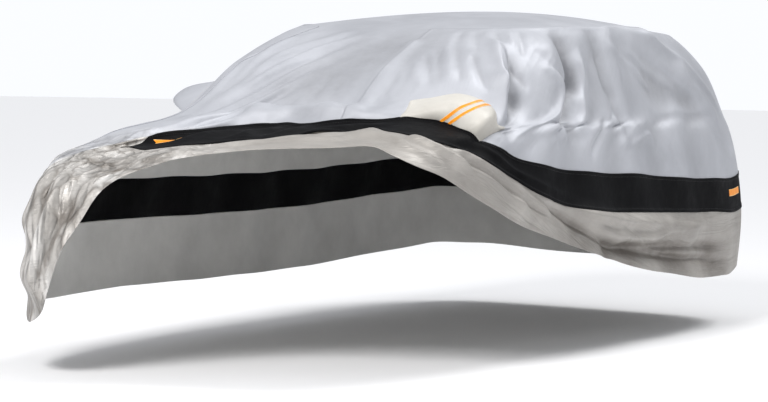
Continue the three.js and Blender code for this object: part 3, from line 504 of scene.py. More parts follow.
# %% The creases
# name, width, height, lean, places along it (turn, metres down)
CREASE_ROWS = [
    ("twin ridge, front", 0.022, 0.012, 0.3,
     [(0.166, 0.174), (0.188, 0.380), (0.203, 0.516), (0.215, 0.637), (0.238, 0.840)]),
    ("twin ridge, rear", 0.020, 0.011, 0.2,
     [(0.184, 0.234), (0.203, 0.383), (0.218, 0.534), (0.226, 0.650), (0.252, 0.885)]),
    ("beside the pocket", 0.018, -0.010, 0.0, [(0.153, 0.320), (0.171, 0.477), (0.185, 0.571), (0.198, 0.635)]),
    ("across the door top", 0.016, -0.007, 0.2, [(0.190, 0.230), (0.214, 0.381), (0.245, 0.488), (0.264, 0.549)]),
    ("swoosh", 0.030, 0.016, 0.35,
     [(0.261, 0.404), (0.292, 0.422), (0.324, 0.489), (0.325, 0.625), (0.321, 0.854), (0.310, 1.145)]),
    ("swoosh, foot", 0.020, -0.010, 0.0, [(0.311, 1.092), (0.326, 0.925), (0.318, 0.721)]),
    ("deep fold", 0.020, -0.016, -0.3,
     [(0.299, 0.158), (0.341, 0.298), (0.355, 0.399), (0.347, 0.485), (0.351, 0.666), (0.416, 1.053)]),
    ("into the swoosh", 0.014, -0.006, 0.0, [(0.235, 0.233), (0.279, 0.356), (0.304, 0.405), (0.330, 0.434)]),
    ("wide ridge", 0.035, 0.012, 0.2, [(0.354, 0.164), (0.377, 0.359), (0.383, 0.518), (0.438, 0.899)]),
    ("behind the wide ridge", 0.028, -0.007, 0.2,
     [(0.407, 0.138), (0.427, 0.269), (0.441, 0.368), (0.476, 0.450)]),
    ("diagonal, first", 0.018, 0.005, 0.3, [(0.434, 0.130), (0.515, 0.237), (0.583, 0.321)]),
    ("diagonal, second", 0.018, 0.005, 0.3, [(0.472, 0.125), (0.569, 0.216), (0.654, 0.309)]),
    ("diagonal, third", 0.018, 0.005, 0.3, [(0.534, 0.099), (0.636, 0.216), (0.734, 0.368)]),
    ("rear door hollow", 0.022, -0.008, 0.2, [(0.443, 0.516), (0.475, 0.749), (0.475, 0.933), (0.490, 1.004)]),
    ("rear door ridge", 0.026, 0.008, 0.3, [(0.463, 0.500), (0.522, 0.716), (0.545, 0.848)]),
    ("peak over the wheel", 0.016, 0.006, 0.0, [(0.551, 0.801), (0.569, 0.729), (0.589, 0.675), (0.609, 0.761)]),
    ("edge of the flat rear side", 0.040, 0.005, 0.3, [(0.560, 0.446), (0.645, 0.406), (0.751, 0.410)]),
    ("rear pillar streak", 0.030, 0.010, 0.3,
     [(0.469, 0.000), (0.583, 0.068), (0.680, 0.170), (0.725, 0.280), (0.765, 0.402), (0.806, 0.587)]),
    ("roof edge, front", 0.014, 0.005, 0.4, [(0.130, 0.015), (0.200, 0.012), (0.330, 0.012), (0.470, 0.010)]),
    ("roof edge, rear", 0.014, 0.003, 0.4, [(0.440, 0.012), (0.520, 0.012), (0.600, 0.020)]),
    ("door pleat 1", 0.016, 0.0042, 0.0, [(0.103, 0.030), (0.108, 0.150), (0.117, 0.300)]),
    ("door pleat 2", 0.014, -0.0036, 0.0, [(0.113, 0.025), (0.119, 0.150), (0.131, 0.330)]),
    ("door pleat 3", 0.016, 0.0042, 0.0, [(0.125, 0.025), (0.133, 0.170), (0.145, 0.300)]),
    ("door pleat 4", 0.014, -0.0042, 0.0, [(0.137, 0.025), (0.146, 0.160), (0.163, 0.360)]),
    ("door pleat 5", 0.016, 0.0048, 0.0, [(0.150, 0.025), (0.161, 0.150), (0.176, 0.260)]),
    ("door pleat 6", 0.015, -0.0042, 0.0, [(0.164, 0.025), (0.177, 0.150), (0.197, 0.330)]),
    ("door pleat 7", 0.017, 0.0048, 0.0, [(0.181, 0.025), (0.193, 0.140), (0.207, 0.250)]),
    ("door pleat 8", 0.016, -0.0042, 0.0, [(0.198, 0.025), (0.213, 0.160), (0.235, 0.340)]),
    ("pocket, from its corner", 0.010, 0.005, 0.0, [(0.120, 0.800), (0.140, 0.765), (0.165, 0.745)]),
    ("pocket, along its foot", 0.010, 0.004, 0.0, [(0.120, 0.820), (0.145, 0.835), (0.172, 0.865)]),
    ("pocket, tuck", 0.009, -0.006, 0.2, [(0.150, 0.915), (0.168, 0.900), (0.186, 0.865)]),
    ("hem crease", 0.020, -0.024, 0.2,
     [(0.344, 1.308), (0.383, 1.326), (0.426, 1.328), (0.472, 1.318), (0.506, 1.316), (0.535, 1.312),
      (0.590, 1.266), (0.705, 1.218), (0.784, 1.244)]),
    ("hem crease, front", 0.020, -0.022, 0.0,
     [(0.204, 1.318), (0.270, 1.356), (0.326, 1.371), (0.371, 1.377), (0.426, 1.359)]),
    ("under the hem crease", 0.014, 0.009, 0.0, [(0.224, 1.402), (0.294, 1.390), (0.353, 1.393), (0.401, 1.400)]),
    ("skirt roll top", 0.040, 0.032, 0.3, [(0.427, 1.288), (0.498, 1.220), (0.574, 1.144), (0.677, 1.042)]),
    ("skirt ridge", 0.024, 0.028, 0.3,
     [(0.461, 1.323), (0.504, 1.294), (0.589, 1.197), (0.626, 1.132), (0.728, 1.030)]),
    ("skirt hollow", 0.028, -0.030, 0.2, [(0.499, 1.346), (0.575, 1.251), (0.679, 1.162), (0.782, 1.161)]),
    ("skirt, front upper", 0.022, 0.024, 0.2, [(0.143, 1.239), (0.191, 1.303), (0.239, 1.360), (0.276, 1.390)]),
    ("skirt, front lower", 0.020, 0.020, 0.2, [(0.086, 1.258), (0.126, 1.284), (0.175, 1.381), (0.230, 1.432)]),
    ("skirt on the bonnet", 0.016, 0.008, 0.2, [(-0.016, 1.546), (0.022, 1.469), (0.061, 1.389), (0.104, 1.337)]),
    ("band crease", 0.012, 0.005, 0.0, [(0.235, 1.154), (0.315, 1.258), (0.393, 1.257), (0.463, 1.200)]),
    ("band tuft", 0.020, 0.008, 0.2, [(-0.011, 1.242), (0.002, 1.343), (0.015, 1.428)]),
    ("windscreen foot", 0.020, 0.010, 0.2, [(-0.136, 0.984), (-0.089, 1.016), (-0.066, 0.937)]),
    ("windscreen fan, first", 0.020, 0.008, 0.3,
     [(-0.144, 0.898), (-0.117, 0.818), (-0.101, 0.739), (-0.093, 0.644), (-0.083, 0.490), (-0.068, 0.333),
      (-0.054, 0.172)]),
    ("windscreen fan, second", 0.018, 0.007, 0.3,
     [(-0.149, 0.818), (-0.114, 0.746), (-0.106, 0.653), (-0.105, 0.535), (-0.096, 0.427), (-0.086, 0.307)]),
    ("windscreen fan, third", 0.018, 0.006, 0.3,
     [(-0.122, 0.700), (-0.127, 0.561), (-0.139, 0.405), (-0.146, 0.284), (-0.139, 0.183), (-0.099, 0.086)]),
    ("windscreen fan, fourth", 0.018, 0.006, 0.3,
     [(-0.117, 0.650), (-0.111, 0.534), (-0.110, 0.373), (-0.088, 0.239), (-0.057, 0.122)]),
    ("windscreen fan, fifth", 0.016, 0.005, 0.2,
     [(-0.093, 0.719), (-0.088, 0.623), (-0.069, 0.465), (-0.055, 0.333)]),
    ("far pillar", 0.018, 0.006, 0.2, [(-0.141, 0.797), (-0.145, 0.661), (-0.147, 0.526), (-0.170, 0.306)]),
    ("bonnet puff, top", 0.030, 0.012, 0.2,
     [(-0.088, 1.229), (-0.071, 1.087), (-0.052, 1.017), (-0.027, 0.961), (0.008, 0.960), (0.074, 0.951),
      (0.110, 0.886)]),
    ("bonnet puff, shadow", 0.016, -0.008, 0.0,
     [(-0.086, 1.003), (-0.061, 0.937), (-0.010, 0.923), (0.035, 0.913), (0.062, 0.937)]),
    ("near pillar, pleat 1", 0.010, 0.005, 0.0, [(0.083, 0.783), (0.085, 0.719), (0.088, 0.655), (0.090, 0.590)]),
    ("near pillar, pleat 2", 0.010, -0.004, 0.0, [(0.083, 0.794), (0.081, 0.719), (0.080, 0.644), (0.079, 0.536)]),
    ("near pillar, pleat 3", 0.012, 0.005, 0.0, [(0.097, 0.782), (0.100, 0.718), (0.100, 0.622), (0.093, 0.502)]),
    ("to the pocket, upper", 0.010, 0.005, 0.0, [(0.086, 0.881), (0.104, 0.770), (0.111, 0.715), (0.120, 0.680)]),
    ("to the pocket, lower", 0.010, 0.004, 0.0, [(0.081, 0.903), (0.097, 0.836), (0.114, 0.767)]),
    ("pillar curtain 1", 0.016, 0.008, 0.2, [(0.089, 0.440), (0.103, 0.578), (0.117, 0.692)]),
    ("pillar curtain 2", 0.014, -0.008, 0.0, [(0.091, 0.320), (0.115, 0.533), (0.129, 0.675)]),
    ("pillar curtain 3", 0.014, -0.007, 0.0, [(0.100, 0.266), (0.123, 0.486), (0.136, 0.649)]),
    ("pillar curtain 4", 0.014, 0.008, 0.2, [(0.110, 0.239), (0.134, 0.481), (0.146, 0.639)]),
    ("pillar curtain 5", 0.014, -0.007, 0.0, [(0.126, 0.237), (0.147, 0.472), (0.159, 0.623)]),
    ("corner, edge of the smooth part", 0.030, 0.014, 0.3,
     [(-0.105, 1.674), (-0.090, 1.871), (-0.086, 2.024), (-0.090, 2.134), (-0.095, 2.243), (-0.101, 2.373)]),
    ("corner, lobe", 0.020, 0.008, 0.2, [(-0.071, 1.874), (-0.065, 1.809), (-0.056, 1.775)]),
    ("corner, hollow", 0.020, -0.010, 0.0, [(-0.044, 1.868), (-0.031, 1.834), (-0.027, 1.750)]),
    ("corner, short ridge", 0.018, 0.007, 0.2, [(-0.084, 2.006), (-0.079, 2.075), (-0.078, 2.140)]),
    ("corner, short hollow", 0.018, -0.008, 0.0, [(-0.085, 2.191), (-0.090, 2.235), (-0.098, 2.264)]),
    ("corner, hem ridge", 0.020, 0.010, 0.2, [(-0.115, 2.349), (-0.096, 2.419), (-0.089, 2.488)]),
]
# the side's folds hang free of the car, so they stand deeper than those pulled over it
SIDE_DEEPER, SIDE_TURNS, SIDE_DOWN = 1.5, (0.15, 0.6), 1.0
crease_total = np.zeros(len(smooth_points))
for name, width, height, lean, path in CREASE_ROWS:
    beside = SIDE_TURNS[0] < path[0][0] < SIDE_TURNS[1] and path[0][1] < SIDE_DOWN
    deeper = SIDE_DEEPER if beside else 1.0
    reached, lift = crease_height(smooth_points, smooth_normals, crease_line(path), width, height * deeper, lean)
    crease_total[reached] += lift
print("creases:", len(CREASE_ROWS))

# %% [markdown]
# ## Small wrinkles
# Between those creases, coated cloth is never quite smooth. Small short wrinkles are scattered from a fixed
# seed. Each zone of the cover has its own grain: upright under the windows, slanting towards the tail, along the
# hem in the skirt, and every way at the crumpled corner.

# %% Zones of small wrinkles
# name, turn from, to, metres down from, to, grain (round, down), its spread, count, length, width, height
WRINKLE_ROWS = [
    ("front door", 0.06, 0.34, 0.10, 1.15, (0.05, 1.0), 0.25, 60, 0.30, 0.015, 0.0030),
    ("rear door", 0.34, 0.56, 0.10, 1.10, (0.30, 1.0), 0.30, 45, 0.30, 0.016, 0.0026),
    ("rear side", 0.50, 0.84, 0.05, 0.85, (0.90, 0.7), 0.35, 30, 0.30, 0.018, 0.0016),
    ("left skirt", 0.10, 0.86, 1.02, 1.42, (1.00, -0.25), 0.20, 60, 0.40, 0.016, 0.0036),
    ("band", 0.00, 0.86, 0.90, 1.30, (1.00, 0.10), 0.30, 60, 0.16, 0.012, 0.0024),
    ("windscreen", -0.17, 0.06, 0.05, 0.90, (0.35, 1.0), 0.35, 60, 0.30, 0.018, 0.0028),
    ("bonnet", -0.12, 0.10, 0.85, 1.60, (1.00, 0.30), 0.45, 60, 0.20, 0.014, 0.0036),
    ("corner", -0.16, -0.02, 1.50, 2.45, (0.40, 1.0), 1.20, 80, 0.20, 0.016, 0.0050),
    ("right side", -0.86, -0.14, 0.10, 1.60, (0.10, 1.0), 0.35, 220, 0.30, 0.018, 0.0040),
    ("tail", 0.84, 1.16, 0.05, 1.20, (0.05, 1.0), 0.45, 80, 0.26, 0.018, 0.0035),
]
HALF_ROUND = OUTLINES[4][2][-1]
WRINKLE_SEED = 11


def scattered_wrinkles(points, normals):
    random = np.random.default_rng(WRINKLE_SEED)
    total = np.zeros(len(points))
    for name, turn_a, turn_b, down_a, down_b, grain, spread, count, length, width, height in WRINKLE_ROWS:
        for _ in range(count):
            start = np.array([random.uniform(turn_a, turn_b), random.uniform(down_a, down_b)])
            angle = math.atan2(grain[1], grain[0]) + random.normal(0, spread)
            span = length * random.uniform(0.5, 1.4)
            bend = random.normal(0, 0.25)
            path = []
            for share in (-0.5, 0.0, 0.5):
                heading = angle + bend * share
                step = np.array([math.cos(heading) / HALF_ROUND, math.sin(heading)]) * span * share
                path.append(start + step)
            path = np.array(path)
            path[:, 0] = (path[:, 0] + 1) % 2 - 1
            path[:, 1] = np.clip(path[:, 1], 0.0, 2.5)
            if np.ptp(path[:, 0]) > 1:
                continue
            reached, lift = crease_height(points, normals, crease_line(path, 3), width * random.uniform(0.7, 1.3),
                                          height * random.uniform(-1.1, 1.3), random.uniform(-0.3, 0.3), 1.5, 0.45)
            total[reached] += lift
    return total


def triangle_wave(x):
    return 2 * np.abs(2 * (x / (2 * math.pi) % 1) - 1) - 1


FOIL_SEED = 4
FOIL = {"count": 6, "shortest": 0.10, "longest": 0.24, "height": 0.0040, "reach": 0.50,
        "warp": 0.03, "warp_pitch": 17.0}


def foil_height(points):
    """Flat facets that meet at sharp lines, as in crumpled foil, at the right front corner."""
    random = np.random.default_rng(FOIL_SEED)
    bent = points + FOIL["warp"] * np.sin(points[:, [1, 2, 0]] * FOIL["warp_pitch"])
    total = np.zeros(len(points))
    for _ in range(FOIL["count"]):
        direction = unit(random.normal(size=3))
        length = random.uniform(FOIL["shortest"], FOIL["longest"])
        total += triangle_wave(bent @ direction * 2 * math.pi / length + random.uniform(0, 6.28)) * length
    total *= FOIL["height"] / np.abs(total).mean()
    return total * near_corner(points, FOIL["reach"])


small_total = scattered_wrinkles(smooth_points, smooth_normals) + foil_height(smooth_points)
print("small wrinkles:", sum(row[7] for row in WRINKLE_ROWS))

# %% The draped grid
DOME_POWER = 2.6  # how flat a pocket's top is: a higher number is flatter


def pocket_push(column, row, side):
    """How far a mirror pushes its pocket out, as a share of the full push, at a place of the grid."""
    first, last = POCKETS[side]["columns"]
    top, bottom = POCKETS[side]["rows"]
    across = np.clip((column - first) / (last - first), 0, 1) ** (math.log(0.5) / math.log(POCKETS[side]["lean"]))
    down = np.clip((row - top) / (bottom - top), 0, 1)
    return (1 - np.abs(2 * across - 1) ** DOME_POWER) * (1 - np.abs(2 * down - 1) ** DOME_POWER)


grid_column = np.concatenate([np.repeat(RING, ROWS_DOWN), np.zeros(len(inside))])
grid_row = np.concatenate([np.tile(LINES_DOWN, len(RING)), np.full(len(inside), -1.0)])
pocket_share = {side: pocket_push(grid_column, grid_row, side) for side in POCKETS}

folded = smooth_points + outward(smooth_points) * main_height[:, None] + smooth_normals * crease_total[:, None]
for side, share in pocket_share.items():
    folded += share[:, None] * np.array(POCKETS[side]["push"])
print("folded grid spans", (folded.max(axis=0) - folded.min(axis=0)).round(3), "m")

# %% [markdown]
# ## Slack
# What makes folds look like cloth is that cloth hardly stretches: where there is too much of it, it has to buckle.
# So the folded grid is given a little slack, from half a per cent to seven per cent more length than the room it
# has, and is then settled: every thread is pushed back to its own length, bending is smoothed, and each place is
# held loosely to where it hung. Slack round the car buckles into upright folds, slack down the cloth into folds
# along the hem, and a slanting slack into slanting ones. First it is settled on a wide net, for the big folds, and
# then on the fine grid. A last softening takes out what buckled at the size of the grid's own cells. A full cloth
# simulation wasn't tried here: it would be expected to drop the part of the cover that is drawn back over the
# bonnet.

# %% Slack
# name, turn, down, reach round, reach down, slack round, slack down, slant
SLACK_ROWS = [
    ("front door", 0.20, 0.60, 0.12, 0.50, 0.006, 0.000, 0.000),
    ("rear door", 0.42, 0.60, 0.15, 0.45, 0.004, 0.000, -0.010),
    ("rear side", 0.66, 0.40, 0.14, 0.35, 0.006, 0.004, -0.012),
    ("left skirt", 0.45, 1.25, 0.34, 0.14, 0.006, 0.050, 0.000),
    ("windscreen", -0.06, 0.50, 0.10, 0.45, 0.030, 0.004, 0.020),
    ("bonnet", 0.00, 1.15, 0.12, 0.30, 0.030, 0.070, 0.000),
    ("corner", -0.09, 2.00, 0.06, 0.50, 0.030, 0.025, 0.000),
    ("right side", -0.50, 0.80, 0.33, 0.70, 0.016, 0.004, 0.000),
    ("tail, left half", 1.00, 0.60, 0.14, 0.55, 0.020, 0.004, 0.000),
    ("tail, right half", -1.00, 0.60, 0.14, 0.55, 0.020, 0.004, 0.000),
]
EVERYWHERE = (0.006, 0.004, 0.0)
PUSH, DIAGONAL_PUSH, EASE = 0.5, 0.3, 0.42  # how hard a thread and a diagonal push back, and how much is taken


def slack_at(turn, down):
    slack = [np.full(turn.shape, value) for value in EVERYWHERE]
    for _, at_turn, at_down, reach_round, reach_down, *amounts in SLACK_ROWS:
        near = np.exp(-((turn - at_turn) / reach_round) ** 4 - ((down - at_down) / reach_down) ** 4)
        slack = [value + amount * near for value, amount in zip(slack, amounts)]
    return slack


def thread_lengths(hung, slack):
    """The lengths that the threads of a net want: round, down and along both diagonals."""
    around, below, slant = slack
    a = (np.roll(hung, -1, axis=0) - hung)
    b = np.diff(hung, axis=1)
    length_a, length_b = np.linalg.norm(a, axis=2), np.linalg.norm(b, axis=2)
    rest_a, rest_b = length_a * (1 + around), length_b * (1 + below[:, :-1])
    skew = (a[:, :-1] * b).sum(-1) + slant[:, :-1] * length_a[:, :-1] * length_b
    square = rest_a[:, :-1] ** 2 + rest_b ** 2
    return rest_a, rest_b, np.sqrt(square + 2 * skew), np.sqrt(square - 2 * skew)


def blur(values):
    """The average of a place's four neighbours on the net, less its own value."""
    padded = np.concatenate([values[:, :1], values, values[:, -1:]], axis=1)
    return (np.roll(values, 1, axis=0) + np.roll(values, -1, axis=0) + padded[:, :-2] + padded[:, 2:]) / 4 - values


def settle(hung, start, slack, held, rounds, stiff, limit):
    """Settles a net of cloth: `hung` is where it is held, `start` where it begins."""
    rest_a, rest_b, rest_c, rest_d = thread_lengths(hung, slack)
    net = start.copy()
    for _ in range(rounds):
        move = np.zeros_like(net)
        a = np.roll(net, -1, axis=0) - net
        a *= (PUSH - PUSH * rest_a / np.linalg.norm(a, axis=2))[..., None]
        move += a - np.roll(a, 1, axis=0)
        b = np.diff(net, axis=1)
        b *= (PUSH - PUSH * rest_b / np.linalg.norm(b, axis=2))[..., None]
        move[:, :-1] += b
        move[:, 1:] -= b
        right = np.roll(net, -1, axis=0)
        c = right[:, 1:] - net[:, :-1]
        c *= (DIAGONAL_PUSH - DIAGONAL_PUSH * rest_c / np.linalg.norm(c, axis=2))[..., None]
        d = net[:, 1:] - right[:, :-1]
        # the second diagonal runs from the right neighbour down to the place below
        d *= (DIAGONAL_PUSH - DIAGONAL_PUSH * rest_d / np.linalg.norm(d, axis=2))[..., None]
        move[:, :-1] += c
        move[:, 1:] += np.roll(-c, 1, axis=0)
        move[:, :-1] += np.roll(d, 1, axis=0)
        move[:, 1:] -= d
        net += EASE * move
        away = net - hung
        away -= stiff * blur(blur(away))
        away *= (1 - held)[..., None]
        far = np.linalg.norm(away, axis=2)
        away *= np.minimum(1, limit / np.maximum(far, 1e-9))[..., None]
        net = hung + away
    return net


# %% Settle the wide net, then the fine grid
WIDE_CUTS = 3  # lines of the wide net to each coarse cell
WIDE_ROUNDS, FINE_ROUNDS = 500, 250
HELD, STIFF = 0.006, 0.06  # how firmly a place is held to where it hung, and how the cloth resists bending
WIDE_LIMIT, FINE_LIMIT = 0.045, 0.014  # how far a place may move, in metres
FINE_SLACK, FINE_NUDGE = 0.8, 0.7  # the shares of the slack and of the small wrinkles given to the fine grid
SOFTENED, CORNER_SOFTENED = 3, 10  # rounds of softening after settling: everywhere, and at the bunched corner
wide_columns = np.arange(COLUMNS * WIDE_CUTS) / WIDE_CUTS
wide_rows = np.arange(HEM_ROW * WIDE_CUTS + 1) / WIDE_CUTS


def grid_at(values, column, row):
    """Reads the fine grid's values at places of the grid, columns wrapping round."""
    lines = np.concatenate([RING, [COLUMNS]])
    c = np.clip(np.searchsorted(lines, column, side="right") - 1, 0, len(RING) - 1)
    r = np.clip(np.searchsorted(LINES_DOWN, row, side="right") - 1, 0, ROWS_DOWN - 2)
    u = ((column - lines[c]) / (lines[c + 1] - lines[c]))[..., None]
    v = ((row - LINES_DOWN[r]) / (LINES_DOWN[r + 1] - LINES_DOWN[r]))[..., None]
    next_c = (c + 1) % len(RING)
    upper = values[ring_ids[c, r]] * (1 - u) + values[ring_ids[next_c, r]] * u
    lower = values[ring_ids[c, r + 1]] * (1 - u) + values[ring_ids[next_c, r + 1]] * u
    return upper * (1 - v) + lower * v


def cubic_weights(t):
    return [(-t ** 3 + 2 * t ** 2 - t) / 2, (3 * t ** 3 - 5 * t ** 2 + 2) / 2,
            (-3 * t ** 3 + 4 * t ** 2 + t) / 2, (t ** 3 - t ** 2) / 2]


def wide_to_fine(values):
    """Spreads values on the wide net over the fine grid's columns and rows, smoothly."""
    x, y = RING * WIDE_CUTS, LINES_DOWN * WIDE_CUTS
    i, j = np.floor(x).astype(int), np.minimum(np.floor(y).astype(int), len(wide_rows) - 2)
    along = sum(w[:, None, None] * values[(i + k - 1) % len(wide_columns)]
                for k, w in enumerate(cubic_weights(x - i)))
    return sum(w[None, :, None] * along[:, np.clip(j + k - 1, 0, len(wide_rows) - 1)]
               for k, w in enumerate(cubic_weights(y - j)))


def holding(shape):
    """How firmly each place of a net is held: fast along the roof's edge, loosely elsewhere."""
    held = np.full(shape, HELD)
    held[:, 0] = 1.0
    return held


def settle_cloth():
    mesh_column, mesh_row = np.meshgrid(wide_columns, wide_rows, indexing="ij")
    turn = turn_of(mesh_column.ravel()).reshape(mesh_column.shape)
    down = down_of(turn_of(wide_columns), wide_rows)
    hung = grid_at(folded, mesh_column, mesh_row)
    nudge = smooth_normals * small_total[:, None]
    nudged = hung + grid_at(nudge, mesh_column, mesh_row)
    wide = settle(hung, nudged, slack_at(turn, down), holding(turn.shape), WIDE_ROUNDS, STIFF, WIDE_LIMIT)
    settled = folded[ring_ids] + wide_to_fine(wide - hung)
    fine_turn = np.repeat(ring_turn[:, None], ROWS_DOWN, axis=1)
    slack = [value * FINE_SLACK for value in slack_at(fine_turn, ring_down)]
    held = holding(fine_turn.shape)
    nudged = settled + nudge[ring_ids] * FINE_NUDGE
    fine = settle(settled, nudged, slack, held, FINE_ROUNDS, STIFF, FINE_LIMIT)
    bunched = near_corner(fine, CRUMPLE["reach"])
    for number in range(CORNER_SOFTENED):
        everywhere = 1.0 if number < SOFTENED else 0.0
        fine += 0.5 * np.maximum(everywhere, bunched)[..., None] * blur(fine) * (held < 1)[..., None]
    result = folded.copy()
    result[ring_ids] = fine
    return result


draped = settle_cloth()
draped_normals = normals_of(draped, all_quads)
moved = np.linalg.norm(draped - folded, axis=1)
most, usual = (round(float(value) * 1000, 1) for value in (moved.max(), np.median(moved)))
print("settled: moved up to", most, "mm, usually", usual)

# %% Which panel each cell belongs to
ROUNDING = 1e-6  # keeps a line that lies on a whole column or row in that one
ROOF_CELLS = roof_quads[..., 0].size
ring_columns = np.repeat(np.floor(RING + ROUNDING), ROWS_DOWN - 1)
ring_rows = np.tile(np.floor(LINES_DOWN[:-1] + ROUNDING), len(RING))
cell_column = np.concatenate([ring_columns, np.zeros(ROOF_CELLS)])
cell_row = np.concatenate([ring_rows, np.full(ROOF_CELLS, -1)])


def between(values, low, high):
    return (values >= low) & (values < high)


def name_cells():
    names = np.full(len(all_quads), "side_right", dtype=object)
    names[between(cell_column, SEAM_COLUMNS["front_left"], SEAM_COLUMNS["rear_left"])] = "side_left"
    names[between(cell_column, SEAM_COLUMNS["front_right"], SEAM_COLUMNS["front_left"])] = "top_centre"
    names[between(cell_column, SEAM_COLUMNS["rear_left"], SEAM_COLUMNS["rear_right"])] = "top_centre"
    names[cell_row < 0] = "top_centre"
    for side, pocket in POCKETS.items():
        names[between(cell_column, *pocket["columns"]) & between(cell_row, *pocket["rows"])] = "pocket_" + side
    names[cell_row >= BAND_ROW] = "band_black"
    names[(cell_row >= SKIRT_ROW) | ((cell_row >= BAND_ROW) & between(cell_column, *BAND_STOPS))] = "skirt_silver"
    return names


cell_panel = name_cells()
PANELS = ("top_centre", "side_left", "side_right", "band_black", "skirt_silver", "pocket_left", "pocket_right")
for panel in PANELS:
    print(panel, int((cell_panel == panel).sum()), "cells")

# %% [markdown]
# ## Panels with thickness and lapped seams
# Each panel becomes a closed shell of cloth about two millimetres thick. Where two panels are sewn, the upper one
# laps a few millimetres over the lower and stands up by its turned-in edge, which is why a sewn line shows as a
# fine ridge with a shadow beside it. A rank says which panel lies on top: the band over the sides, the sides over
# the centre panel.

# %% Cut a panel from the grid
CLOTH = 0.0020
RANK = {"top_centre": 0, "skirt_silver": 1, "side_left": 2, "side_right": 2, "pocket_left": 3, "pocket_right": 3,
        "band_black": 4}
LIFT = {"top_centre": 0.0, "skirt_silver": 0.0026, "side_left": 0.0026, "side_right": 0.0026,
        "pocket_left": 0.0028, "pocket_right": 0.0028, "band_black": 0.0036}
LAP, DRAWN_BACK, LIFT_REACH, UNDER_LAP = 0.006, 0.0045, 0.016, 0.0004
LIFT_THICKENS = 0.6  # how much of a lifted edge's rise goes into its thickness
cell_rank = np.array([RANK[name] for name in cell_panel])
corner_centre = draped[all_quads].mean(axis=1)
highest_rank = np.full(len(draped), -1)
for k in range(4):
    np.maximum.at(highest_rank, all_quads[:, k], cell_rank)
cells_round = np.bincount(all_quads.ravel(), minlength=len(draped))


def away_from_seam(panel_cells):
    """At each grid point, the way from other panels' cells into this panel's, and how many cells it owns."""
    pull = np.zeros_like(draped)
    own = np.bincount(all_quads[panel_cells].ravel(), minlength=len(draped))
    others = np.maximum(cells_round - own, 1)
    for k in range(4):
        ids = all_quads[:, k]
        toward = unit(corner_centre - draped[ids])
        weight = np.where(panel_cells, 1 / np.maximum(own[ids], 1), -1 / others[ids])
        np.add.at(pull, ids, toward * weight[:, None])
    pull -= draped_normals * (pull * draped_normals).sum(axis=1, keepdims=True)
    return unit(pull), own


def open_edges(quads, count):
    """The directed edges that only one quad uses."""
    starts, ends = quads.ravel(), np.roll(quads, -1, axis=1).ravel()
    lonely = ~np.isin(starts.astype(np.int64) * count + ends, ends.astype(np.int64) * count + starts)
    return starts[lonely], ends[lonely]


def distance_to(points, targets):
    tree = KDTree(len(targets))
    for number, target in enumerate(targets):
        tree.insert(target, number)
    tree.balance()
    return np.array([tree.find(point)[2] for point in points])


def cut_panel(panel):
    cells = cell_panel == panel
    ids = np.unique(all_quads[cells])
    to_local = np.full(len(draped), -1)
    to_local[ids] = np.arange(len(ids))
    quads = to_local[all_quads[cells]]
    pull, own = away_from_seam(cells)
    seam = (own[ids] > 0) & (own[ids] < cells_round[ids])
    on_top = seam & (highest_rank[ids] == RANK[panel]) & (LIFT[panel] > 0)
    under = seam & ~on_top
    outer = draped[ids].copy()
    normals = draped_normals[ids]
    gap = distance_to(draped[ids], draped[ids][on_top]) if on_top.any() else np.full(len(ids), 1.0)
    rise = np.clip(1 - gap / LIFT_REACH, 0, 1)
    lift = LIFT[panel] * rise ** 2 * (3 - 2 * rise)
    outer += normals * lift[:, None]
    outer[on_top] -= pull[ids][on_top] * LAP
    outer[under] += pull[ids][under] * DRAWN_BACK
    depth = np.where(on_top, lift - UNDER_LAP, CLOTH + LIFT_THICKENS * lift)
    inner = outer - normals * depth[:, None]
    return {"ids": ids, "quads": quads, "outer": outer, "inner": inner, "normals": normals}


cut = {panel: cut_panel(panel) for panel in PANELS}
print("panels cut:", {panel: len(part["quads"]) for panel, part in cut.items()})

# %% Make a closed shell of cloth into a Blender object
RIM_BULGE = 0.0007
CRUMPLE_REACH = 0.55  # how far the foil-like creasing spreads from the bunched corner


def panel_uv(panel_ids):
    """Flat places on the cloth in metres, so that its weave runs true across each panel."""
    turn, down = vertex_turn[panel_ids], vertex_down[panel_ids]
    ring = panel_ids < ring_ids.size
    tail = np.abs(turn) > REAR_TURN
    across = np.where(tail, (1 - np.abs(turn)) * np.sign(turn + 1e-9), turn) * HALF_ROUND
    along = np.where(tail, LOOPS[0]["rear"] + down, LOOPS[0]["front"] - down)
    flat = np.where(ring[:, None], np.stack([across, along], -1), smooth_points[panel_ids][:, :2])
    return flat


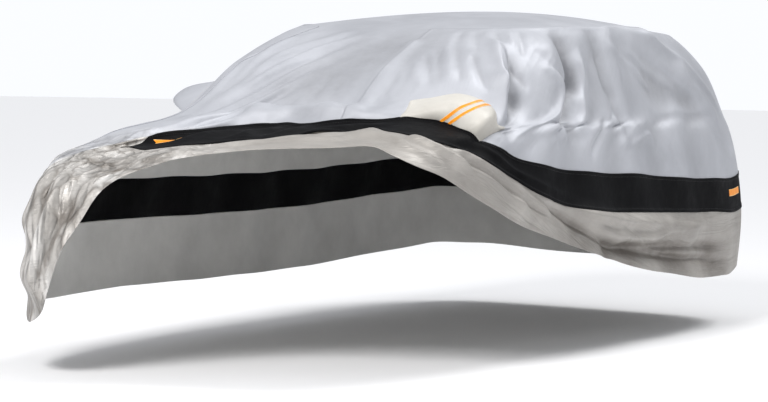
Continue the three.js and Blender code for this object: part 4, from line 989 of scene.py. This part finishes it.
def shell_object(name, outer, inner, quads, normals, uv, crease, crumple):
    """Joins the outer and inner faces round their open edges, with a rounded rim between them."""
    count = len(outer)
    starts, ends = open_edges(quads, count)
    rim_ids = np.unique(np.concatenate([starts, ends]))
    edge_out = np.zeros_like(outer)
    away = np.cross(outer[ends] - outer[starts], normals[starts])
    np.add.at(edge_out, starts, away)
    np.add.at(edge_out, ends, away)
    middle = (outer[rim_ids] + inner[rim_ids]) / 2 + unit(edge_out[rim_ids]) * RIM_BULGE
    to_rim = np.full(count, -1)
    to_rim[rim_ids] = 2 * count + np.arange(len(rim_ids))
    points = np.concatenate([outer, inner, middle])
    faces = np.concatenate([
        quads,
        quads[:, ::-1] + count,
        np.stack([ends, starts, to_rim[starts], to_rim[ends]], -1),
        np.stack([to_rim[ends], to_rim[starts], starts + count, ends + count], -1),
    ])
    mesh = bpy.data.meshes.new(name)
    mesh.vertices.add(len(points))
    mesh.vertices.foreach_set("co", (points - HOLD).ravel())
    mesh.loops.add(faces.size)
    mesh.loops.foreach_set("vertex_index", faces.ravel())
    mesh.polygons.add(len(faces))
    mesh.polygons.foreach_set("loop_start", np.arange(len(faces)) * 4)
    mesh.polygons.foreach_set("material_index", (np.arange(len(faces)) // len(quads) == 1).astype(int))
    mesh.polygons.foreach_set("use_smooth", np.ones(len(faces), bool))
    mesh.update(calc_edges=True)
    all_uv = np.concatenate([uv, uv, uv[rim_ids]])
    layer = mesh.uv_layers.new(name="cloth")
    layer.data.foreach_set("uv", all_uv[faces.ravel()].ravel())
    for label, values in (("crease", crease), ("crumple", crumple)):
        attribute = mesh.attributes.new(label, "FLOAT", "POINT")
        attribute.data.foreach_set("value", np.concatenate([values, values, values[rim_ids]]).astype(np.float32))
    mesh.validate()
    piece = bpy.data.objects.new(name, mesh)
    bpy.context.scene.collection.objects.link(piece)
    return piece


relief_total = main_height + crease_total + small_total
crumple_share = near_corner(smooth_points, CRUMPLE_REACH)
pieces = {}
for panel, part in cut.items():
    pieces[panel] = shell_object("cloth_" + panel, part["outer"], part["inner"], part["quads"], part["normals"],
                                 panel_uv(part["ids"]), relief_total[part["ids"]], crumple_share[part["ids"]])
    triangles = sum(len(face.vertices) - 2 for face in pieces[panel].data.polygons)
    print(pieces[panel].name, triangles, "triangles")

# %% [markdown]
# ## Tape
# Two reflective orange stripes cross the mirror pocket and two orange tabs are sewn on the band. Each is a strip
# of thin tape that follows the cloth under it.

# %% Strips that follow the cloth
TAPES = {
    "stripe_upper": {"start": (18.20, 11.97), "end": (19.97, 8.47), "width": 0.014},
    "stripe_lower": {"start": (18.82, 11.97), "end": (20.40, 8.70), "width": 0.014},
    "tab_front": {"start": (6.3, 12.7), "end": (7.1, 12.9), "width": 0.060},
    "tab_rear": {"start": (48.0, 12.85), "end": (49.8, 12.85), "width": 0.032},
}
TAPE_STEPS, TAPE_LANES, TAPE_RISE, TAPE_THICK = 48, 8, 0.0006, 0.0008
TAPE_EDGE, EDGE_DROP = 0.0015, 0.0004  # how wide a tape's rounded edge is, and how far it falls
SLOPE_STEP = 0.2  # half the step over which the grid's slope is taken, in cells


def cloth_at(column, row):
    """The draped cloth's point and way out at a place of the grid."""
    return grid_at(draped, column, row), unit(grid_at(draped_normals, column, row))


def tape_piece(name, start, end, width):
    start, end = np.array(start), np.array(end)
    share = np.linspace(0, 1, TAPE_STEPS + 1)
    column, row = start[0] + (end[0] - start[0]) * share, start[1] + (end[1] - start[1]) * share
    centre, normal = cloth_at(column, row)
    along = unit(np.gradient(centre, axis=0))
    aside = unit(np.cross(along, normal))
    step = SLOPE_STEP
    per_column = (cloth_at(column + step, row)[0] - cloth_at(column - step, row)[0]) / (2 * step)
    per_row = (cloth_at(column, row + step)[0] - cloth_at(column, row - step)[0]) / (2 * step)
    cc, cr, rr = (per_column ** 2).sum(-1), (per_column * per_row).sum(-1), (per_row ** 2).sum(-1)
    ac, ar = (aside * per_column).sum(-1), (aside * per_row).sum(-1)
    det = cc * rr - cr * cr
    move_column, move_row = (ac * rr - ar * cr) / det, (ar * cc - ac * cr) / det
    lane = np.linspace(-0.5, 0.5, TAPE_LANES + 1)[None, :] * width
    points, normals = cloth_at(column[:, None] + lane * move_column[:, None],
                               row[:, None] + lane * move_row[:, None])
    edge = 1 - np.clip((0.5 - np.abs(lane / width)) * width / TAPE_EDGE, 0, 1) ** 0.5
    rise = TAPE_RISE + TAPE_THICK - EDGE_DROP * edge * np.ones_like(column)[:, None]
    outer = (points + normals * rise[..., None]).reshape(-1, 3)
    inner = (points + normals * TAPE_RISE).reshape(-1, 3)
    ids = np.arange(len(outer)).reshape(TAPE_STEPS + 1, TAPE_LANES + 1)
    quads = np.stack([ids[:-1, :-1], ids[:-1, 1:], ids[1:, 1:], ids[1:, :-1]], -1).reshape(-1, 4)
    facing = np.cross(outer[quads[:, 1]] - outer[quads[:, 0]], outer[quads[:, 3]] - outer[quads[:, 0]])
    if (facing * normals.reshape(-1, 3)[quads[:, 0]]).sum() < 0:
        quads = quads[:, ::-1]
    length = np.concatenate([[0], np.cumsum(np.linalg.norm(np.diff(centre, axis=0), axis=1))])
    uv = np.stack(np.broadcast_arrays(lane / width + 0.5, length[:, None]), -1).reshape(-1, 2)
    flat = np.zeros(len(outer))
    return shell_object(name, outer, inner, quads, normals.reshape(-1, 3), uv, flat, flat)


for name, tape in TAPES.items():
    pieces[name] = tape_piece("tape_" + name, tape["start"], tape["end"], tape["width"])
print("tape strips:", len(TAPES))

# %% [markdown]
# ## Finishes
# The silver cloth is a polyester coated with aluminium colour: about a quarter metal, the rest matt, with a fine
# weave and a crinkle like foil. Fine detail lies in the shader's bump, because it is far smaller than the grid's
# cells. The colour darkens in the troughs, a painted shade broken up by a little dust, and pales in the middle of
# each bunched facet, a painted highlight. Part of the crumple at the front corner is bump, and part is painted
# shade and highlight in the colour, so the mesh alone shows less of it.

# %% Helpers for materials
def new_material(name):
    material = bpy.data.materials.new(name)
    material.use_nodes = True
    nodes = material.node_tree.nodes
    nodes.clear()
    output = nodes.new("ShaderNodeOutputMaterial")
    shader = nodes.new("ShaderNodeBsdfPrincipled")
    material.node_tree.links.new(shader.outputs["BSDF"], output.inputs["Surface"])
    return material, shader


def add_node(material, kind, values=None, inputs=None):
    """Adds a node, sets its fixed values, and links or sets its inputs."""
    node = material.node_tree.nodes.new(kind)
    for key, value in (values or {}).items():
        setattr(node, key, value)
    for key, value in (inputs or {}).items():
        socket = node.inputs[key]
        if isinstance(value, bpy.types.NodeSocket):
            material.node_tree.links.new(value, socket)
        else:
            socket.default_value = value
    return node


def link(material, source, target):
    material.node_tree.links.new(source, target)


def noise(material, place, scale, detail=3.0, roughness=0.55, distortion=0.0):
    return add_node(material, "ShaderNodeTexNoise", inputs={
        "Vector": place, "Scale": scale, "Detail": detail, "Roughness": roughness, "Distortion": distortion})


def spread(material, value, low, high, to_low=0.0, to_high=1.0):
    node = add_node(material, "ShaderNodeMapRange", inputs={
        "Value": value, "From Min": low, "From Max": high, "To Min": to_low, "To Max": to_high})
    return node.outputs["Result"]


def mix_colour(material, share, a, b):
    node = add_node(material, "ShaderNodeMix", {"data_type": "RGBA"})
    for socket, value in ((node.inputs[0], share), (node.inputs[6], a), (node.inputs[7], b)):
        if isinstance(value, bpy.types.NodeSocket):
            link(material, value, socket)
        else:
            socket.default_value = value
    return node.outputs[2]


def colour(red, green, blue):
    """A colour given as the eye sees it, 0 to 255, turned into the renderer's linear values."""
    linear = [v / 255 / 12.92 if v <= 10 else ((v / 255 + 0.055) / 1.055) ** 2.4 for v in (red, green, blue)]
    return (*linear, 1.0)


def bump(material, height, strength, distance, under=None):
    inputs = {"Height": height, "Strength": strength, "Distance": distance}
    if under is not None:
        inputs["Normal"] = under
    return add_node(material, "ShaderNodeBump", inputs=inputs).outputs["Normal"]


# %% The weave, the crinkle and the dust shared by the cloths
def object_place(material):
    return add_node(material, "ShaderNodeTexCoord").outputs["Object"]


def times(material, a, b):
    return add_node(material, "ShaderNodeMath", {"operation": "MULTIPLY"}, {0: a, 1: b}).outputs[0]


def weave(material, threads):
    """Warp and weft as two crossed waves along the panel's own flat places, `threads` to the metre."""
    uv = add_node(material, "ShaderNodeUVMap", {"uv_map": "cloth"}).outputs["UV"]
    waves = [add_node(material, "ShaderNodeTexWave", {"bands_direction": way}, {
        "Vector": uv, "Scale": threads / 20, "Distortion": 0.6, "Detail": 1.0}).outputs["Fac"] for way in "XY"]
    return times(material, *waves)


def crinkle(material, place, scale):
    """Little facets like those of foil: how far each place is from the middle of its warped cell."""
    warp = noise(material, place, scale * 0.5, 2.0)
    moved = add_node(material, "ShaderNodeMix", {"data_type": "VECTOR"},
                     {0: 0.12, 4: place, 5: warp.outputs["Color"]}).outputs[1]
    cells = add_node(material, "ShaderNodeTexVoronoi", {"feature": "F1"}, {
        "Vector": moved, "Scale": scale, "Randomness": 1.0})
    return cells.outputs["Distance"]


FACETS = 9.0  # creases to the metre where the cloth is bunched
PULL_TURN, PULL_SCALE = (0.5, 0.35, 0.0), (1.0, 1.0, 0.38)  # bunched folds are long in the way they are pulled
FACET_HIGHLIGHT = colour(222, 220, 217)  # painted highlight: the pale colour in the middle of each bunched facet


def streaks(material, around, along):
    """Fine creases that run one way, from noise stretched along the panel's flat places."""
    uv = add_node(material, "ShaderNodeUVMap", {"uv_map": "cloth"}).outputs["UV"]
    stretched = add_node(material, "ShaderNodeMapping", inputs={"Vector": uv, "Scale": (around, along, 1.0)})
    return noise(material, stretched.outputs["Vector"], 1.0, 4.0, 0.6, 1.2).outputs["Fac"]


def coated_cloth(name, dark, light, trough, roughness, metallic, crinkle_scale, crinkle_depth, grain, grain_depth,
                 threads=900):
    material, shader = new_material(name)
    place = object_place(material)
    cloud = noise(material, place, 2.3, 6.0, 0.6, 0.4).outputs["Fac"]
    base = mix_colour(material, spread(material, cloud, 0.30, 0.70), dark, light)
    folds = add_node(material, "ShaderNodeAttribute", {"attribute_name": "crease"}).outputs["Fac"]
    # painted shade: in the hollows of the folds the colour darkens towards the trough colour, broken up by a dust
    # noise
    in_trough = spread(material, folds, 0.000, -0.026, 0.0, 0.6)
    grime = noise(material, place, 14.0, 6.0, 0.65).outputs["Fac"]
    trough_shade_and_dust = times(material, in_trough, spread(material, grime, 0.25, 0.7, 0.45, 1.0))
    bunched = add_node(material, "ShaderNodeAttribute", {"attribute_name": "crumple"}).outputs["Fac"]
    pulled = add_node(material, "ShaderNodeMapping",
                      inputs={"Vector": place, "Rotation": PULL_TURN, "Scale": PULL_SCALE}).outputs["Vector"]
    facet = crinkle(material, pulled, FACETS)
    small_facet = crinkle(material, pulled, FACETS * 2.3)

    def where_bunched(value):
        return times(material, value, bunched)

    # painted shade: the colour darkens to the trough colour along the lines where the bunched corner's small facets
    # meet
    crumple_crease_shade = where_bunched(spread(material, small_facet, 0.50, 0.74, 0.0, 0.55))
    # painted highlight: the colour pales towards the highlight colour in the middle of each bunched facet;
    # stretched holds the colour with it
    facet_highlight_share = where_bunched(spread(material, facet, 0.15, 0.55, 0.9, 0.2))
    stretched = mix_colour(material, facet_highlight_share, base, FACET_HIGHLIGHT)
    coloured = mix_colour(material, crumple_crease_shade, mix_colour(material, trough_shade_and_dust, stretched, trough), trough)
    link(material, coloured, shader.inputs["Base Color"])
    sheen_patch = noise(material, place, 7.0, 5.0, 0.6).outputs["Fac"]
    link(material, spread(material, sheen_patch, 0.3, 0.7, roughness[0], roughness[1]), shader.inputs["Roughness"])
    shader.inputs["Metallic"].default_value = metallic
    creased = bump(material, streaks(material, *grain), 0.4, grain_depth)
    facets = bump(material, crinkle(material, place, crinkle_scale), 0.22, crinkle_depth, creased)
    fine = bump(material, noise(material, place, crinkle_scale * 6, 5.0, 0.6).outputs["Fac"], 0.25,
                crinkle_depth * 0.35, facets)
    large = bump(material, where_bunched(facet), 1.0, 0.070, fine)
    small = bump(material, where_bunched(small_facet), 0.9, 0.022, large)
    link(material, bump(material, weave(material, threads), 0.15, 0.0002, small), shader.inputs["Normal"])
    return material


# %% Silver, warm silver and the pocket's cloth
# the third colour of each cloth is its painted shade, for the troughs and the bunched corner's creases
silver = coated_cloth("silver_cloth", colour(166, 168, 174), colour(186, 188, 194), colour(116, 115, 117),
                      (0.54, 0.66), 0.26, 14.0, 0.005, (14.0, 3.0), 0.004)
warm_silver = coated_cloth("warm_silver_cloth", colour(142, 138, 133), colour(176, 172, 167), colour(84, 75, 66),
                           (0.46, 0.60), 0.30, 14.0, 0.005, (1.6, 12.0), 0.045)
pocket_cloth = coated_cloth("pocket_cloth", colour(184, 180, 172), colour(206, 203, 196), colour(128, 120, 110),
                            (0.52, 0.66), 0.08, 16.0, 0.005, (5.0, 9.0), 0.008)
print("coated cloths:", silver.name, warm_silver.name, pocket_cloth.name)

# %% [markdown]
# The band is an uncoated black cloth with a coarser weave. Black cloth is never quite black: its threads catch a
# trace of bluish sheen where it turns away. Inside, the cover is lined by its own soft, pale back face.

# %% Black cloth, inner face and tape
def black_cloth():
    material, shader = new_material("black_cloth")
    place = object_place(material)
    cloud = noise(material, place, 3.0, 5.0, 0.6).outputs["Fac"]
    link(material, mix_colour(material, spread(material, cloud, 0.3, 0.7), colour(4, 4, 5), colour(11, 11, 13)),
         shader.inputs["Base Color"])
    link(material, spread(material, noise(material, place, 8.0, 4.0).outputs["Fac"], 0.3, 0.7, 0.62, 0.82),
         shader.inputs["Roughness"])
    shader.inputs["Specular IOR Level"].default_value = 0.08
    shader.inputs["Sheen Weight"].default_value = 0.01
    shader.inputs["Sheen Roughness"].default_value = 0.4
    shader.inputs["Sheen Tint"].default_value = colour(150, 165, 195)
    ripple = bump(material, noise(material, place, 14.0, 4.0, 0.55, 0.5).outputs["Fac"], 0.5, 0.008)
    link(material, bump(material, weave(material, 500), 0.5, 0.0004, ripple), shader.inputs["Normal"])
    return material


def inner_face():
    material, shader = new_material("inner_face")
    place = object_place(material)
    cloud = noise(material, place, 4.0, 5.0, 0.6).outputs["Fac"]
    pale = mix_colour(material, spread(material, cloud, 0.3, 0.7), colour(196, 195, 192), colour(216, 215, 212))
    link(material, pale, shader.inputs["Base Color"])
    shader.inputs["Roughness"].default_value = 0.9
    shader.inputs["Sheen Weight"].default_value = 0.2
    fuzz = bump(material, noise(material, place, 900.0, 2.0).outputs["Fac"], 0.4, 0.0005)
    link(material, bump(material, noise(material, place, 16.0, 4.0).outputs["Fac"], 0.4, 0.006, fuzz),
         shader.inputs["Normal"])
    return material


def orange_tape():
    """Orange cloth tape, paler along its woven edges."""
    material, shader = new_material("orange_tape")
    place = object_place(material)
    uv = add_node(material, "ShaderNodeUVMap", {"uv_map": "cloth"}).outputs["UV"]
    across = add_node(material, "ShaderNodeSeparateXYZ", inputs={0: uv}).outputs["X"]
    aside = add_node(material, "ShaderNodeMath", {"operation": "SUBTRACT"}, {0: across, 1: 0.5}).outputs[0]
    centre = add_node(material, "ShaderNodeMath", {"operation": "ABSOLUTE"}, {0: aside}).outputs[0]
    fabric = mix_colour(material, spread(material, noise(material, place, 40.0, 4.0).outputs["Fac"], 0.3, 0.7),
                        colour(232, 130, 10), colour(252, 160, 24))
    edge = spread(material, centre, 0.44, 0.47)
    link(material, mix_colour(material, edge, fabric, colour(250, 214, 150)), shader.inputs["Base Color"])
    shader.inputs["Roughness"].default_value = 0.42
    link(material, bump(material, weave(material, 1200), 0.3, 0.0003), shader.inputs["Normal"])
    return material


black, lining, orange = black_cloth(), inner_face(), orange_tape()
OUTER_FINISH = {"top_centre": silver, "side_left": silver, "side_right": silver, "band_black": black,
                "skirt_silver": warm_silver, "pocket_left": pocket_cloth, "pocket_right": silver}
for panel, finish in OUTER_FINISH.items():
    pieces[panel].data.materials.append(finish)
    pieces[panel].data.materials.append(lining if panel != "band_black" else black)
for name in TAPES:
    pieces[name].data.materials.append(orange)
    pieces[name].data.materials.append(orange)
print("finishes set on", len(OUTER_FINISH) + len(TAPES), "pieces")

# %% [markdown]
# ## Stitches
# A row of stitches holds every lapped seam, the pockets and the turned-up hem. They could be a bump in the cloth's
# finish, but thread stands proud of the cloth and throws a small shadow, so each is a real bead of thread. The
# rows are drawn as lines on the cloth, and a Geometry Nodes tree lays beads along them at a named pitch, each
# turned along its row and laid flat on the cloth.

# %% Rows of stitches
# panel that carries them, from (column, row), to (column, row)
SEAM_INSET, HEM_INSET = 0.11, 0.35  # how far in from its panel's edge a row runs, as a share of a grid cell
STITCH_ROWS = [
    ("band_black", (BAND_STOPS[1], BAND_ROW + SEAM_INSET), (COLUMNS + BAND_STOPS[0], BAND_ROW + SEAM_INSET)),
    ("band_black", (BAND_STOPS[1], SKIRT_ROW - SEAM_INSET), (COLUMNS + BAND_STOPS[0], SKIRT_ROW - SEAM_INSET)),
    ("skirt_silver", (0, HEM_ROW - HEM_INSET), (COLUMNS, HEM_ROW - HEM_INSET)),
    ("side_left", (SEAM_COLUMNS["front_left"], SEAM_INSET), (SEAM_COLUMNS["rear_left"], SEAM_INSET)),
    ("side_right", (SEAM_COLUMNS["rear_right"], SEAM_INSET), (COLUMNS + SEAM_COLUMNS["front_right"], SEAM_INSET)),
]
for side, ways in (("left", (1, -1)), ("right", (-1, 1))):
    for end, way in zip(("front", "rear"), ways):
        column = SEAM_COLUMNS[end + "_" + side] + way * SEAM_INSET
        STITCH_ROWS.append(("side_" + side, (column, SEAM_INSET), (column, BAND_ROW)))
    (first, last), (top, bottom) = POCKETS[side]["columns"], POCKETS[side]["rows"]
    inset_rows = [((first, top), (last, top)), ((first, top), (first, bottom)), ((last, top), (last, bottom))]
    middle = np.array([(first + last) / 2, (top + bottom) / 2])
    for start, stop in inset_rows:
        start, stop = (np.array(p) + np.sign(middle - p) * SEAM_INSET for p in (start, stop))
        STITCH_ROWS.append(("pocket_" + side, tuple(start), tuple(stop)))
ROW_STEP, ROW_BREAK = 0.01, 5  # metres between the places that draw a row, and how many of them break it
WALK_STEPS = 400  # how finely a row is walked to find its length
SKIN_LIFT, SKIN_REACH = 0.004, 0.02  # how high above the cloth a row looks for its panel, and how far
STITCH_SIZES = {"Pitch": 0.011, "Stitch length": 0.0075, "Thread": 0.0016}
print("rows of stitches:", len(STITCH_ROWS))


# %% Draw the rows on their panels
def row_on_panel(panel, start, stop):
    """Places on a panel's outer face along a row, and the way out at each."""
    coarse = np.linspace(0, 1, WALK_STEPS)
    column = (start[0] + (stop[0] - start[0]) * coarse) % COLUMNS
    row = start[1] + (stop[1] - start[1]) * coarse
    length = np.linalg.norm(np.diff(grid_at(draped, column, row), axis=0), axis=1)
    walked = np.concatenate([[0], np.cumsum(length)])
    share = np.interp(np.arange(0, walked[-1], ROW_STEP), walked, coarse)
    column = (start[0] + (stop[0] - start[0]) * share) % COLUMNS
    row = start[1] + (stop[1] - start[1]) * share
    places, ways = cloth_at(column, row)
    skin = BVHTree.FromPolygons(cut[panel]["outer"].tolist(), cut[panel]["quads"].tolist())
    found = [skin.find_nearest(place + way * SKIN_LIFT) for place, way in zip(places, ways)]
    on_skin = np.array([hit[0] for hit in found])
    near = np.linalg.norm(on_skin - places, axis=1) < SKIN_REACH
    return on_skin[near], ways[near]


def stitch_lines(name, panels):
    """One object of bare lines with the cloth's way out kept at each point."""
    points, ways, edges = [], [], []
    for panel, start, stop in STITCH_ROWS:
        if panel in panels:
            places, outs = row_on_panel(panel, start, stop)
            first = sum(map(len, points))
            gaps = np.linalg.norm(np.diff(places, axis=0), axis=1)
            edges += [(first + k, first + k + 1) for k, gap in enumerate(gaps) if gap < ROW_BREAK * ROW_STEP]
            points.append(places)
            ways.append(outs)
    mesh = bpy.data.meshes.new(name)
    mesh.from_pydata((np.concatenate(points) - HOLD).tolist(), edges, [])
    attribute = mesh.attributes.new("way_out", "FLOAT_VECTOR", "POINT")
    attribute.data.foreach_set("vector", np.concatenate(ways).astype(np.float32).ravel())
    lines = bpy.data.objects.new(name, mesh)
    bpy.context.scene.collection.objects.link(lines)
    return lines


print("a row on the pocket:", len(row_on_panel(*STITCH_ROWS[-1])[0]), "places")


# %% The stitch tree
def stitch_tree():
    """Lays beads of thread along lines: pitch, stitch length and thread are its inputs, in metres."""
    tree = bpy.data.node_groups.new("stitches along lines", "GeometryNodeTree")
    make = tree.interface.new_socket
    make("Lines", in_out="INPUT", socket_type="NodeSocketGeometry")
    for label in ("Pitch", "Stitch length", "Thread"):
        make(label, in_out="INPUT", socket_type="NodeSocketFloat")
    make("Finish", in_out="INPUT", socket_type="NodeSocketMaterial")
    make("Stitches", in_out="OUTPUT", socket_type="NodeSocketGeometry")
    nodes = tree.nodes
    given, result = nodes.new("NodeGroupInput"), nodes.new("NodeGroupOutput")
    curve, resample = nodes.new("GeometryNodeMeshToCurve"), nodes.new("GeometryNodeResampleCurve")
    resample.mode = "LENGTH"
    bead, size = nodes.new("GeometryNodeMeshIcoSphere"), nodes.new("ShaderNodeCombineXYZ")
    bead.inputs["Radius"].default_value, bead.inputs["Subdivisions"].default_value = 0.5, 1
    tangent, way_out = nodes.new("GeometryNodeInputTangent"), nodes.new("GeometryNodeInputNamedAttribute")
    way_out.data_type = "FLOAT_VECTOR"
    way_out.inputs["Name"].default_value = "way_out"
    along, flat = (nodes.new("FunctionNodeAlignRotationToVector") for _ in range(2))
    along.axis, flat.axis, flat.pivot_axis = "X", "Z", "X"
    lay, real, finish = (nodes.new(kind) for kind in (
        "GeometryNodeInstanceOnPoints", "GeometryNodeRealizeInstances", "GeometryNodeSetMaterial"))
    routes = (
        (given, "Lines", curve, "Mesh"),
        (curve, "Curve", resample, "Curve"),
        (given, "Pitch", resample, "Length"),
        (given, "Stitch length", size, "X"),
        (given, "Thread", size, "Y"),
        (given, "Thread", size, "Z"),
        (tangent, "Tangent", along, "Vector"),
        (along, "Rotation", flat, "Rotation"),
        (way_out, "Attribute", flat, "Vector"),
        (resample, "Curve", lay, "Points"),
        (bead, "Mesh", lay, "Instance"),
        (flat, "Rotation", lay, "Rotation"),
        (size, "Vector", lay, "Scale"),
        (lay, "Instances", real, "Geometry"),
        (real, "Geometry", finish, "Geometry"),
        (given, "Finish", finish, "Material"),
        (finish, "Geometry", result, "Stitches"),
    )
    for source, leaving, target, entering in routes:
        tree.links.new(source.outputs[leaving], target.inputs[entering])
    return tree


def sew(name, panels, finish):
    """Runs the tree on a set of rows and keeps the result as a plain mesh."""
    lines = stitch_lines(name + "_lines", panels)
    modifier = lines.modifiers.new("stitches", "NODES")
    modifier.node_group = stitches
    values = {**STITCH_SIZES, "Finish": finish}
    for socket in stitches.interface.items_tree:
        if socket.in_out == "INPUT" and socket.name in values:
            modifier[socket.identifier] = values[socket.name]
    graph = bpy.context.evaluated_depsgraph_get()
    mesh = bpy.data.meshes.new_from_object(lines.evaluated_get(graph), depsgraph=graph)
    bpy.data.objects.remove(lines)
    sewn = bpy.data.objects.new(name, mesh)
    bpy.context.scene.collection.objects.link(sewn)
    return sewn


def thread_finish(name, dark, light):
    """Twisted thread: two close shades in fine slanting bands."""
    material, shader = new_material(name)
    place = object_place(material)
    twist = add_node(material, "ShaderNodeTexWave", {"bands_direction": "DIAGONAL"},
                     {"Vector": place, "Scale": 260.0}).outputs["Fac"]
    link(material, mix_colour(material, twist, dark, light), shader.inputs["Base Color"])
    shader.inputs["Roughness"].default_value = 0.6
    return material


stitches = stitch_tree()
STITCHED = {
    "stitches_silver": (("side_left", "side_right"), thread_finish("silver_thread", colour(150, 151, 155),
                                                                   colour(186, 187, 191)), "silver_cloth"),
    "stitches_hem": (("skirt_silver",), thread_finish("warm_thread", colour(150, 144, 136), colour(184, 179, 172)),
                     "warm_silver_cloth"),
    "stitches_black": (("band_black",), thread_finish("black_thread", colour(24, 24, 27), colour(44, 44, 48)),
                       "black_cloth"),
    "stitches_pocket": (("pocket_left", "pocket_right"), thread_finish("pale_thread", colour(168, 164, 157),
                                                                       colour(206, 203, 196)), "pocket_cloth"),
}
for name, (panels, finish, _) in STITCHED.items():
    sewn = sew(name, panels, finish)
    pieces[name] = sewn
    print(name, sum(len(face.vertices) - 2 for face in sewn.data.polygons), "triangles")

# %% [markdown]
# ## Floor and light
# A plain pale floor and a pale sky all round, dimmer low down. A sun with a wide disc stands overhead, a soft
# light in front, and a weak one at the cover's left. Colours are shown as they are, without a film curve, so that
# the ground stays pale and the band stays dark.

# %% Floor
FLOOR_REACH, FLOOR_SIDES = 60.0, 64


def add_floor():
    mesh = bpy.data.meshes.new("floor")
    z = -float(HOLD[2])
    angles = np.linspace(0, 2 * math.pi, FLOOR_SIDES + 1)[:-1]
    ring = [(FLOOR_REACH * math.cos(a), FLOOR_REACH * math.sin(a), z) for a in angles]
    mesh.from_pydata(ring, [], [list(range(len(ring)))])
    floor = bpy.data.objects.new("floor", mesh)
    bpy.context.scene.collection.objects.link(floor)
    material, shader = new_material("floor")
    shader.inputs["Base Color"].default_value = colour(244, 244, 245)
    shader.inputs["Roughness"].default_value = 0.9
    mesh.materials.append(material)
    return floor


floor = add_floor()
print("floor at", round(-float(HOLD[2]), 3), "m")


# %% Lights, sky and view
SKY = {"From Min": 0.02, "From Max": 0.85, "To Min": 0.16, "To Max": 0.70}
SEEN_SKY = 1.06  # how bright the sky is where it is looked at, not mirrored


def add_light(name, place, aim, size, power, tint=(1, 1, 1)):
    data = bpy.data.lights.new(name, "AREA")
    data.shape = "RECTANGLE"
    data.size, data.size_y = size
    data.energy = power
    data.color = tint
    light = bpy.data.objects.new(name, data)
    light.location = place
    toward = Vector(aim) - Vector(place)
    light.rotation_euler = toward.to_track_quat("-Z", "Y").to_euler()
    bpy.context.scene.collection.objects.link(light)
    return light


add_light("key", (0.9, -9.2, 4.8), (0.1, -0.6, -0.6), (2.4, 2.4), 760, (1.0, 0.99, 0.98))
add_light("side", (8.5, 1.5, 2.6), (0.9, 0.3, -0.6), (1.6, 3.4), 60, (0.98, 0.99, 1.0))
overhead = bpy.data.lights.new("overhead", "SUN")
overhead.energy, overhead.angle = 1.7, math.radians(24)
overhead_light = bpy.data.objects.new("overhead", overhead)
overhead_light.rotation_euler = (math.radians(-30), math.radians(16), 0)
bpy.context.scene.collection.objects.link(overhead_light)
bpy.context.scene.view_settings.view_transform = "Standard"


def add_sky():
    """A sky that is bright overhead and dim low down, so that the folds have something dark to mirror."""
    world = bpy.data.worlds.new("sky")
    world.use_nodes = True
    tree = world.node_tree
    background = tree.nodes["Background"]
    place = tree.nodes.new("ShaderNodeTexCoord")
    height = tree.nodes.new("ShaderNodeSeparateXYZ")
    ramp = tree.nodes.new("ShaderNodeMapRange")
    tree.links.new(place.outputs["Generated"], height.inputs[0])
    tree.links.new(height.outputs["Z"], ramp.inputs["Value"])
    for key, value in SKY.items():
        ramp.inputs[key].default_value = value
    lit = tree.nodes.new("ShaderNodeLightPath")
    pale = tree.nodes.new("ShaderNodeMix")
    tree.links.new(lit.outputs["Is Camera Ray"], pale.inputs[0])
    tree.links.new(ramp.outputs["Result"], pale.inputs[2])
    pale.inputs[3].default_value = SEEN_SKY
    background.inputs["Color"].default_value = colour(245, 247, 251)
    tree.links.new(pale.outputs[0], background.inputs["Strength"])
    bpy.context.scene.world = world


add_sky()

# %% [markdown]
# ## Riding with the body
# Each piece rides with the cover's one body, and each cloth and tape hides the imported node that it stands for.

# %% Ride and replace
SLOTS = {"top_centre": "silver_cloth", "side_left": "silver_cloth", "side_right": "silver_cloth",
         "band_black": "black_cloth", "skirt_silver": "warm_silver_cloth", "pocket_left": "pocket_cloth",
         "pocket_right": "pocket_cloth", "stripe_upper": "orange_tape", "stripe_lower": "orange_tape",
         "tab_front": "orange_tape", "tab_rear": "orange_tape"}
for name, piece in pieces.items():
    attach(piece, "root")
    if name in SLOTS:
        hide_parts(name)
